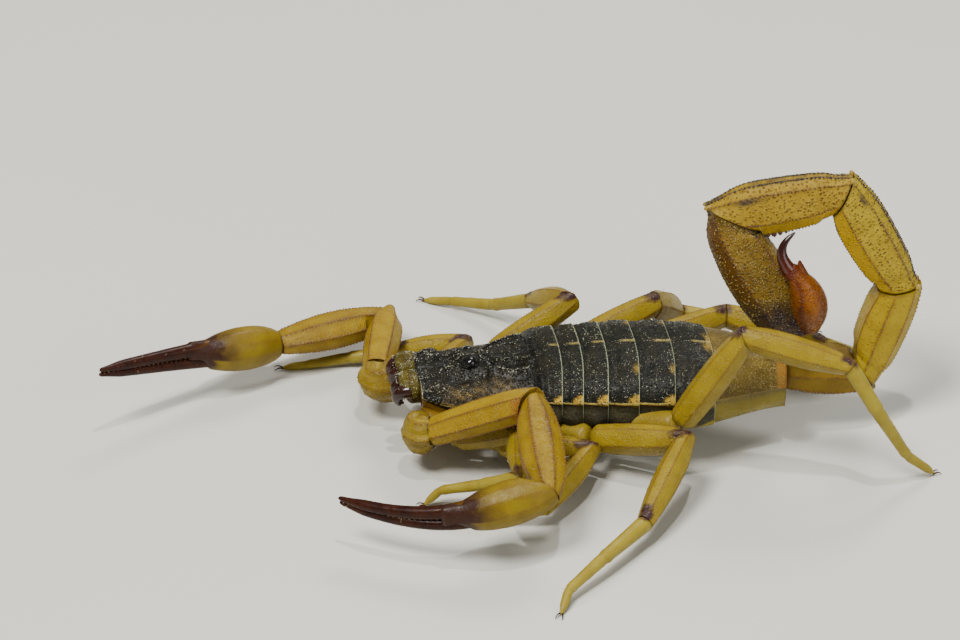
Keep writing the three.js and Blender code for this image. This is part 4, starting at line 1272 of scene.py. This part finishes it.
def tail_ring(index):
    along = (TAIL_JOINTS[index + 1] - TAIL_JOINTS[index]).normalized()
    spine = limb_spine(TAIL_JOINTS, index, along.cross(Vector((0, 1, 0))), 2.2)
    if index == 0:
        spine.planes[0] = (0.0, Vector((1, 0, 0)))
    length, depth = spine.length, TAIL_DEPTHS[index]
    last_ring, arched = index == LAST_RING, index in ARCH_RINGS
    keels = BACK_KEELS if last_ring else ARCH_KEELS if arched else SIDE_KEELS

    def outline(distance, turn):
        share = distance / length
        widening, bulge = lerp(0.72, 0.86, share), math.sin(math.pi * share)
        waist = 1 - 0.07 * bell((distance - 0.75, 0.35))
        inner_bulge, outer_bulge = (0.12, 0.40) if last_ring else (0.22, 0.10)
        girth = (TAIL_HALF_WIDTH * (widening + 0.1 * bulge),
                 depth / 2 * (widening + inner_bulge * bulge),
                 depth / 2 * (widening + outer_bulge * bulge ** 0.8))
        crest = 0.02 if last_ring else 0.055
        crest = crest * smooth(0, 0.6, distance) * smooth(0, 0.35, length - distance)
        point = keeled(turn, keels, crest, 0.6 if last_ring else 0.35, *girth) * waist
        if not last_ring:
            point *= 1 - 0.05 * bell((side_of(turn), 0.05))
        return point

    def marks(distance, turn):
        rear, side = length - distance, side_of(turn)
        uneven = 0.5 + 0.5 * noise.noise(Vector((turn * 9, distance * 1.5, index)))
        ends = 0.5 * smooth(0.10, 0.03, rear) + 0.5 * smooth(0.10, 0.03, distance)
        if last_ring:
            dusk = max(0.95 * smooth(4.3, 2.0, rear + 1.1 * uneven - 6 * (side - 0.25)),
                       0.8 * smooth(0.478, 0.49, side),
                       0.45 * smooth(1.3, 0.2, distance) * smooth(0.35, 0.2, side))
            return ends, dusk, 0.85 * smooth(0.315, 0.335, side) * (1 - dusk)
        if arched:
            toothed = index == TOOTHED_RING
            middle, reach = (1.7, 0.55) if toothed else (0.95, 0.35)
            blot = 1.1 * bell((side - 0.365, 0.018), (rear - middle, reach))
            crown = 0.55 * smooth(0.455, 0.47, side) * smooth(0.2, 0.6, uneven)
            crown *= 1 if toothed else 0.4
            stain = min(max(ends, blot * (0.5 + uneven), crown), 1)
            return stain, 0.8 * smooth(0.235, 0.18, side), 0
        return ends, 0, 0

    shell = swept(spine, stations(length, 0.14), outline, 96, marks)
    beads, dark, knobs = [], [], []
    for keel in keels:
        crown = arched and abs(keel - 0.5) < 0.05
        pitch, size = (0.15, 0.085) if crown else (0.2, 0.058)
        row = keel_beads(spine, outline, keel, 0.35, length - 0.12, pitch, size)
        (dark if crown or last_ring else beads).extend(row)
    for _ in range(int(TAIL_GRAINS[index] * length)):
        turn, distance = random.random(), random.uniform(0.2, length - 0.15)
        if arched and abs(turn - 0.5) > 0.29 and random.random() < 0.85:
            continue
        grain = random.uniform(0.024, 0.050) if last_ring else random.uniform(0.014, 0.025)
        sooty = last_ring and (random.random() < 0.25 or length - distance < 2.0)
        (dark if sooty else beads).append(bead_on(spine, outline, distance, turn, grain))
    if index == TOOTHED_RING:
        for k, size in enumerate(KEEL_TEETH):
            for keel in (keels[0], keels[-1]):
                beads.append(bead_on(spine, outline, length - 3.3 + k * 0.35, keel, size))
    if 0 < index < LAST_RING:
        for turn in KNOB_TURNS:
            across, up = outline(length, turn)
            point = spine.place(length - 0.05, across * 0.9, up * 0.9)
            knobs.append(standing(point, spine.frame(length)[0], 0.17, 0.30))
    hairs = bristles(spine, outline, 7, 0.7)
    bead_finish = OLIVE_BEAD_FINISH if last_ring else RUST_BEAD_FINISH if arched else BEAD_FINISH
    parts = [(shell, TAIL_FINISHES[index]), (copies(BEAD, beads), bead_finish),
             (copies(HAIR, hairs), HAIR_FINISH)]
    if dark:
        parts.append((copies(BEAD, dark), DARK_BEAD_FINISH))
    if knobs:
        parts.append((copies(ball_template(2), knobs), MEMBRANE_FINISH))
    return parts


for index in range(len(TAIL_RUNS)):
    piece(f"tail_ring_{index + 1}", [f"metasoma_{index + 1}"], tail_ring(index))

# %% [markdown]
# ## The sting
#
# The glossy bulb hangs from the last ring. A small spur stands under its hollow point, which curves
# away and darkens to black. The three run into one another, but each has its own middle line, so
# each is a shell of its own.

# %% The sting
STING_BACK = (-1, 0, 0.3)
BULB_LINE = [(9.75, -1.15, 7.9), (9.95, -2.5, 11.2), (8.3, -1.75, 12.65)]
POINT_LINE = [(8.62, -1.88, 12.25), (7.30, -1.60, 13.70), (8.75, -1.15, 14.6)]
BULB_SPINE = Spine(curve_points(*BULB_LINE), STING_BACK)
POINT_SPINE = Spine(curve_points(*POINT_LINE), STING_BACK)
SPUR_SPINE = Spine([(9.2, -1.9, 12.0), (9.0, -1.85, 13.15)], STING_BACK)


def bulb_outline(distance, turn):
    share = distance / BULB_SPINE.length
    swell = math.sin(math.pi * lerp(0.16, 0.9, share)) ** 1.3
    ripple = 1 + 0.05 * math.sin(distance * 12) * smooth(1.2, 0.5, distance)
    least = lerp(0.42, 0.54, share)
    return oval(turn, *[max(reach * swell, least) * ripple for reach in (1.12, 0.98, 1.12)])


def bulb_marks(distance, turn):
    ends = 0.8 * smooth(1.2, 0.3, distance) + 0.95 * smooth(1.3, 0.3, BULB_SPINE.length - distance)
    streak = 0.75 * bell((turn - 0.20 - 0.03 * math.sin(distance * 2), 0.035))
    streak += 0.3 * bell((side_of(turn) - 0.40, 0.03))
    # Painted highlight: a lighter orange band down the bulb's flank, laid on as the dusk mark.
    flank = 0.6 * bell((turn - 0.31, 0.05), (distance - 2.4, 1.2))
    return min(ends + streak, 1), min(flank, 1), 0


def spur_outline(distance, turn):
    return round_girth(turn, lerp(0.46, 0.07, distance / SPUR_SPINE.length))


def spur_marks(distance, turn):
    return 0.5 + 0.5 * distance / SPUR_SPINE.length, 0, 0


def point_outline(distance, turn):
    return round_girth(turn, 0.09 + 0.43 * (1 - distance / POINT_SPINE.length) ** 1.1)


def point_marks(distance, turn):
    return 0, smooth(2.0, 0.5, distance), 0


bulb_rings = stations(BULB_SPINE.length, 0.12, "dome", "dome", 0.4)
spur_rings = stations(SPUR_SPINE.length, 0.1, "dome", "dome", 0.12)
point_rings = stations(POINT_SPINE.length, 0.1, "dome", "dome", 0.3)
bulb = swept(BULB_SPINE, bulb_rings, bulb_outline, 72, bulb_marks)
spur = swept(SPUR_SPINE, spur_rings, spur_outline, 28, spur_marks)
piece("sting_bulb", ["telson_vesicle"], [(bulb, STING_FINISH), (spur, STING_FINISH)])
point = swept(POINT_SPINE, point_rings, point_outline, 36, point_marks)
piece("sting_point", ["telson_aculeus"], [(point, POINT_FINISH)])

# %% [markdown]
# ## Claw arms
#
# Each arm starts with a ball-shaped turn beside the head. Its upper lengths are boxy, with keels
# along their edges, and its palm swells towards two long dark fingers that lie closed together.
# The lengths differ only in their numbers, so one function makes them. Folds, blotches and joint
# lines are marks on the rings, which the finish then colours.

# %% Claw arms
FOLDS = 6
CLAW_TEETH = 66


def swelling(start, end, swell, length, depth=1.0):
    """The half width and the height both ways of a length that swells in its middle."""
    def girth(distance):
        share = distance / length
        half = lerp(start, end, share) + swell * math.sin(math.pi * share)
        return half, half * depth, half * depth
    return girth


def joint_stain(rear, distance):
    """The thin brown line at both ends of an arm's length."""
    return 0.35 * smooth(0.14, 0.04, rear) + 0.3 * smooth(0.12, 0.04, distance)


def upper_marks(length):
    """A reddish, half see-through patch where the upper length meets the next."""
    def marks(distance, turn):
        rear = length - distance
        dent = 0.2 * noise.noise(Vector((turn * 14, distance * 2, 1)))
        patch = smooth(1.05, 0.25, rear + dent) * smooth(0.09, 0.13, turn) * smooth(0.36, 0.30, turn)
        return joint_stain(rear, distance), 0.9 * patch, 0
    return marks


def fore_marks(length):
    """Dark blotches along the broad middle line."""
    def marks(distance, turn):
        rear = length - distance
        dent = noise.noise(Vector((turn * 30, distance * 3, 2)))
        blot = bell((turn - 0.935, 0.016), (distance - 3.0, 1.0)) * smooth(-0.2, 0.3, dent)
        corner = 0.6 * bell((turn - 0.80, 0.03), (rear - 0.4, 0.3))
        return joint_stain(rear, distance), min(blot + corner, 0.9), 0
    return marks


def arm_ball(shoulder, ball, root, onward):
    """The ball-shaped turn from the shoulder to the arm's root."""
    line = smooth_chain([shoulder, ball, root], 0.45, 8)
    spine = Spine([*line[:-1], Vector(root) - onward * SEAM], UPWARD)

    def folds(turn):
        return max(0, math.sin(turn * math.tau * FOLDS + 0.5))

    def outline(distance, turn):
        rear = spine.length - distance
        swell = 1 + 0.17 * math.sin(math.pi * distance / spine.length)
        around = Vector((math.cos(turn * math.tau), math.sin(turn * math.tau), 0)) * 1.3
        lump = 0.16 * noise.noise(around + Vector((shoulder[1], 0, distance * 1.3)))
        lump -= 0.12 * folds(turn) * smooth(1.4, 0.1, rear)
        crest = 0.05 * smooth(0.2, 0.8, distance) * smooth(0, 0.3, rear)
        return keeled(turn, BALL_KEELS, crest, 0.75, *[0.97 * (swell + lump)] * 3)

    def marks(distance, turn):
        rear = spine.length - distance
        return 0.7 * (folds(turn) ** 4 * smooth(1.3, 0.2, rear)), 0.5 * smooth(0.12, 0.03, rear), 0

    shell = swept(spine, stations(spine.length, 0.12, "dome"), outline, 64, marks)
    return dressed(spine, outline, shell, TURN_FINISH, BALL_KEELS, 0.4, 0.3, 0.18, 0.045, 8, 0.4)


def arm_length(joints, index, keels, girth_ends, depth, finish, marks, start_free=False):
    spine = limb_spine(joints, index, UPWARD, 2.0, start_free)
    girth = swelling(*girth_ends, spine.length, depth)

    def outline(distance, turn):
        crest = 0.045 * smooth(0, 0.5, distance) * smooth(0, 0.4, spine.length - distance)
        return keeled(turn, keels, crest, 0.5, *girth(distance))

    shell = swept(spine, stations(spine.length, 0.15), outline, 80, marks(spine.length))
    return dressed(spine, outline, shell, finish, keels, 0.3, 0.25, 0.2, 0.058, 9, 0.4)


def finger_half(share, up=-1):
    """Half the height of the upper (1) or lower (-1) finger, and half the width of both (-1)."""
    thick = 0.50 if up > 0 else 0.44
    return lerp(thick, 0.27, share ** 0.8) * (1 - 0.5 * smooth(0.78, 1.0, share))


def claw_finger(middle, upward, up):
    """A finger that curves along a middle line and lies on its upper or lower side."""
    line = [point + upward * up * (finger_half(i / 2, up) + SEAM) for i, point in enumerate(middle)]
    spine = Spine(curve_points(*line, count=40), upward)

    def outline(distance, turn):
        share = distance / spine.length
        inner = (0.25 < turn < 0.75) == (up > 0)
        point = oval(turn, finger_half(share), finger_half(share, up), finger_half(share, up), 0.92)
        ridge = 0.03 * max(0, 1 - abs((turn if up > 0 else (turn + 0.5) % 1) - 0.5) / 0.06)
        return point * (1 + (ridge if inner else 0))

    def marks(distance, turn):
        edge = 0.35 * bell((turn - (0.20 if up > 0 else 0.30), 0.03))
        root = 0.5 * smooth(1.9, 0.3, distance) if up > 0 else 0.2 * smooth(1.6, 0.6, distance)
        return 0, root + edge * 0.5, 0

    shell = swept(spine, stations(spine.length, 0.16, "dome", "dome", 0.25), outline, 40, marks)
    teeth, glints = [], []
    for k in range(CLAW_TEETH):
        distance = lerp(1.2, spine.length - 0.2, k / (CLAW_TEETH - 1))
        reach = -finger_half(distance / spine.length, up) * up
        point = spine.place(distance, 0.03 * (k % 2), reach)
        teeth.append(standing(point, upward * -up, 0.045 if k % 6 else 0.07))
        if k % 3 == 1:
            # Pale beads on both edges of the gap are painted highlights of the teeth.
            for way in (-1, 1):
                point = spine.place(distance, way * 0.55 * abs(reach), reach * 0.84)
                glints.append(standing(point, upward * -up, random.uniform(0.026, 0.042)))
    return [(shell, FINGER_FINISH), (copies(BEAD, teeth), DARK_BEAD_FINISH),
            (copies(BEAD, glints), TOOTH_GLINT_FINISH),
            (copies(HAIR, bristles(spine, outline, 8, 0.3)), HAIR_FINISH)]


def claw(joints):
    """The palm with its fixed finger on top, and the movable finger below."""
    wrist, knuckle, tip = joints[2:]
    along = (knuckle - wrist).normalized()
    across = along.cross(UPWARD).normalized()
    upward = across.cross(along)
    first = bend_plane(joints[1], wrist, knuckle)
    hinge = (knuckle - wrist).length - SEAM
    start = wrist + along * (SEAM / along.dot(first))
    spine = Spine([start, knuckle + along * 1.3], upward, first, None)
    length = spine.length

    def palm_outline(distance, turn):
        share = min(distance / hinge, 1)
        swell = math.sin(math.pi * lerp(0.17, 0.80, share ** 0.85)) ** 0.8
        onward = smooth(hinge - 1.2, length, distance)
        slant = smooth(hinge - 0.5, hinge + 0.7, distance)
        girth = (lerp(1.25 * swell, 0.47, onward), lerp(1.375 * swell, 1.0, onward),
                 lerp(1.375 * swell, 0.02, slant))
        crest = 0.02 * smooth(0.2, 0.8, distance) * smooth(hinge, hinge - 1, distance)
        return keeled(turn, PALM_KEELS, crest, 0.8, *girth, width=0.02)

    def palm_marks(distance, turn):
        dent = 0.5 * noise.noise(Vector((turn * 12, 0, distance)))
        ahead, full = (0.9, 0.0) if 0.25 < turn < 0.75 else (2.6, 0.3)
        dark = smooth(hinge - ahead, hinge + full, distance + dent)
        return 0.45 * smooth(0.14, 0.04, distance), 1.35 * dark, 0

    palm = swept(spine, stations(length, 0.13, "rim", "dome", 0.3), palm_outline, 72, palm_marks)
    middle = [knuckle - along * 0.8, knuckle + along * 2.6, tip]
    fingers = [claw_finger(middle, upward, up) for up in (1, -1)]
    return [(palm, PALM_FINISH), *fingers[0]], fingers[1]


for side, _, shoulder, ball, root, runs in ARMS:
    joints = joints_of(root, runs)
    name = SIDE_NAMES[side]
    node = f"pedipalp_{name}"
    onward = (joints[1] - joints[0]).normalized()
    piece(f"arm_{name}_turn", [f"{node}_trochanter"],
          arm_ball(shoulder, ball, root, onward))
    piece(f"arm_{name}_upper", [f"{node}_femur"],
          arm_length(joints, 0, ARM_KEELS, (0.85, 0.98, 0.12), 1.0, ARM_FINISH, upper_marks, True))
    piece(f"arm_{name}_fore", [f"{node}_patella"],
          arm_length(joints, 1, ARM_FLATS, (0.8, 0.85, 0.5), 0.82, ARM_FLAT_FINISH, fore_marks))
    palm, finger = claw(joints)
    piece(f"claw_{name}_palm", [f"{node}_manus"], palm)
    piece(f"claw_{name}_finger", [f"{node}_finger"], finger)

# %% [markdown]
# ## Legs
#
# Four pairs of thin legs hold the trunk just off the ground. A leg has a hip, two long lengths, two
# short ones and a foot with two fine claws. Dark stains mark the upper side of its knees. The joints
# of each leg come from its own lengths and angles, and its last length drops to the floor by itself.

# %% The legs
SOLE = 0.12  # how high the toe's middle is
FLOOR_CLEAR = 0.004
LEGS = [
    (LEFT, 1, [-9.75, -1.35, 1.7], [-10.95, -3.9, 2.1],
     [(4.4, -20, 21), (4.4, -91, -5), (2.9, 147, -29), (2.6, 168, -17)], (1.4, 185)),
    (LEFT, 2, [-8.3, -1.3, 1.7], [-8.5, -4.2, 1.95],
     [(5.8, -14, 4), (5.2, -123, -11), (3.6, 178, -5), (3.0, 172, -8)], (2.0, 173)),
    (LEFT, 3, [-6.9, -1.35, 1.7], [-2.9, -4.2, 2.3],
     [(6.1, -24, 14), (6.1, -116, -21), (4.0, -128, -3), (3.0, -132, -11)], (1.6, -108)),
    (LEFT, 4, [-5.4, -1.2, 1.7], [2.2, -4.6, 3.6],
     [(7.1, 0, 59), (6.3, -10, -13), (3.2, -22, -56), (4.2, 24, -60)], (2.7, 26)),
    (RIGHT, 1, [-10.1, 0.75, 1.7], [-12.3, 2.75, 2.2],
     [(4.4, 62, -6), (4.4, 176, -9), (2.9, 181, -8), (2.6, 184, -9)], (1.5, 186)),
    (RIGHT, 2, [-8.5, 1.1, 1.7], [-8.8, 4.2, 2.6],
     [(5.8, 19, 28), (5.2, 120, -28), (3.6, 138, -28), (3.0, 150, -13)], (2.0, 158)),
    (RIGHT, 3, [-6.9, 1.35, 1.7], [-4.2, 4.4, 2.9],
     [(6.1, 26, 15), (6.1, 70, -36), (4.0, -8, -5), (3.0, -10, -5)], (1.6, -6)),
    (RIGHT, 4, [-5.4, 1.2, 1.7], [-0.5, 4.2, 3.0],
     [(7.0, 31.5, 0.5), (6.2, -20, -6.5), (3.4, 30, -32), (3.4, 70, -5)], (2.0, 100)),
]
LEG_GIRTH = {1: 0.92, 2: 0.96, 3: 1.04, 4: 1.0}
LEG_GIRTHS = ((0.68, 0.66, 0.14), (0.68, 0.5, 0.2))  # thigh and shin: both ends and the swell


def leg_joints(root, runs, foot):
    """A leg's joints. The last length drops until the toe stands on the floor."""
    joints = joints_of(root, runs)
    length, azimuth = foot
    drop = math.degrees(math.asin((SOLE - joints[-1].z) / length))
    return [*joints, joints[-1] + heading(azimuth, drop) * length]


def leg_length(joints, index, girth_ends, finish, start_free=False, near=0.8, far=0.8):
    """One length of a leg. `near` and `far` say how dark the stains at its two ends are."""
    spine = limb_spine(joints, index, UPWARD, 2.2, start_free)
    girth = swelling(*girth_ends, spine.length, 1.15)

    def outline(distance, turn):
        crest = 0.03 * smooth(0, 0.5, distance) * smooth(0, 0.4, spine.length - distance)
        return keeled(turn, LEG_KEELS, crest, 0.6, *girth(distance), width=0.04)

    def marks(distance, turn):
        side, rear = side_of(turn), spine.length - distance
        dent = 0.35 * noise.noise(Vector((turn * 16, distance * 3, index)))
        ring = 0.22 * (near * smooth(0.14, 0.04, distance) + far * smooth(0.14, 0.04, rear))
        near_spot = math.hypot(side / 0.13, (distance - 0.05) / 0.36) + dent
        far_spot = math.hypot((side - 0.03) / 0.11, (rear - 0.2) / 0.62) + dent
        spots = 1.25 * near * smooth(1.1, 0.85, near_spot) + 1.25 * far * smooth(1.1, 0.85, far_spot)
        return min(max(ring, spots), 1), 0, 0

    rings = stations(spine.length, 0.17, "dome" if start_free else "rim")
    shell = swept(spine, rings, outline, 44, marks)
    return dressed(spine, outline, shell, finish, LEG_KEELS, 0.5, 0.3, 0.17, 0.030, 7, 0.35)


def leg_foot(joints, factor):
    """The two short lengths and the foot in one shell, with its fine claws."""
    start, ankle, heel, toe = joints[2:]
    along = (ankle - start).normalized()
    first = bend_plane(joints[1], start, ankle)
    begin = start + along * (SEAM / along.dot(first))
    spine = Spine(smooth_chain([begin, ankle, heel, toe], 0.16, 4), UPWARD, first, None, 1.2)
    breaks = [(ankle - begin).length, (ankle - begin).length + (heel - ankle).length]

    def outline(distance, turn):
        half = factor * lerp(0.47, 0.22, distance / spine.length)
        half *= lerp(0.42, 1, smooth(0, 0.7, spine.length - distance))
        for at in breaks:
            half *= 1 - 0.10 * bell((distance - at, 0.12))
            half *= 1 + 0.09 * bell((distance - at + 0.3, 0.2))
        return oval(turn, half, half * 1.05, half * 1.05, 0.95)

    def marks(distance, turn):
        spot = smooth(1.1, 0.8, math.hypot(side_of(turn) / 0.12, distance / 0.3))
        stain = 0.3 * smooth(0.14, 0.03, distance) + 0.7 * spot
        stain += sum(0.25 * bell((distance - at, 0.09)) for at in breaks)
        return min(stain, 1), 0, 0

    shell = swept(spine, stations(spine.length, 0.16, "rim", "dome", 0.2), outline, 36, marks)
    for vert in shell.verts:
        vert.co.z = max(vert.co.z, FLOOR_CLEAR)
    ahead = (toe - heel).normalized()
    ahead = Vector((ahead.x, ahead.y, 0)).normalized()
    level = ahead.cross(UPWARD)
    hairs = bristles(spine, outline, 8, 0.25, (-0.2, 0.2))
    parts = [(shell, FOOT_FINISH), (copies(HAIR, hairs), HAIR_FINISH)]
    for splay in (-1, 1):
        tine = [toe - ahead * 0.12 + level * splay * 0.05,
                toe + ahead * 0.26 + level * splay * 0.18 + UPWARD * 0.20,
                toe + ahead * 0.40 + level * splay * 0.20 + UPWARD * (0.06 - toe.z)]
        hook = Spine(curve_points(*tine, count=8), UPWARD)

        def girth(distance, turn):
            return round_girth(turn, lerp(0.06, 0.02, distance / hook.length))

        rings = stations(hook.length, 0.08, "dome", "dome", 0.03)
        parts.append((swept(hook, rings, girth, 12), FINGER_FINISH))
    return parts


def hip_shell(hip, root, factor):
    """The short glossy length under the trunk."""
    spine = Spine([Vector(hip), root], UPWARD)
    wide, high = 0.74 * factor, 0.78 * factor
    rings = stations(spine.length, 0.2, "dome", "dome", 0.5)
    return swept(spine, rings, lambda distance, turn: oval(turn, wide, high, wide), 36)


for side, number, hip, root, runs, foot in LEGS:
    joints = leg_joints(root, runs, foot)
    factor = LEG_GIRTH[number]
    thigh_girth, shin_girth = [[end * factor for end in ends] for ends in LEG_GIRTHS]
    name = f"leg_{SIDE_NAMES[side]}_{number}"
    thigh = [(hip_shell(hip, joints[0], factor), HIP_FINISH),
             *leg_length(joints, 0, thigh_girth, LEG_FINISH, True, near=0)]
    piece(f"{name}_thigh", [f"{name}_femur"], thigh)
    shin = leg_length(joints, 1, shin_girth, LEG_FINISH)
    piece(f"{name}_shin", [f"{name}_patella"], shin)
    piece(f"{name}_tip", [f"{name}_foot"], leg_foot(joints, factor))
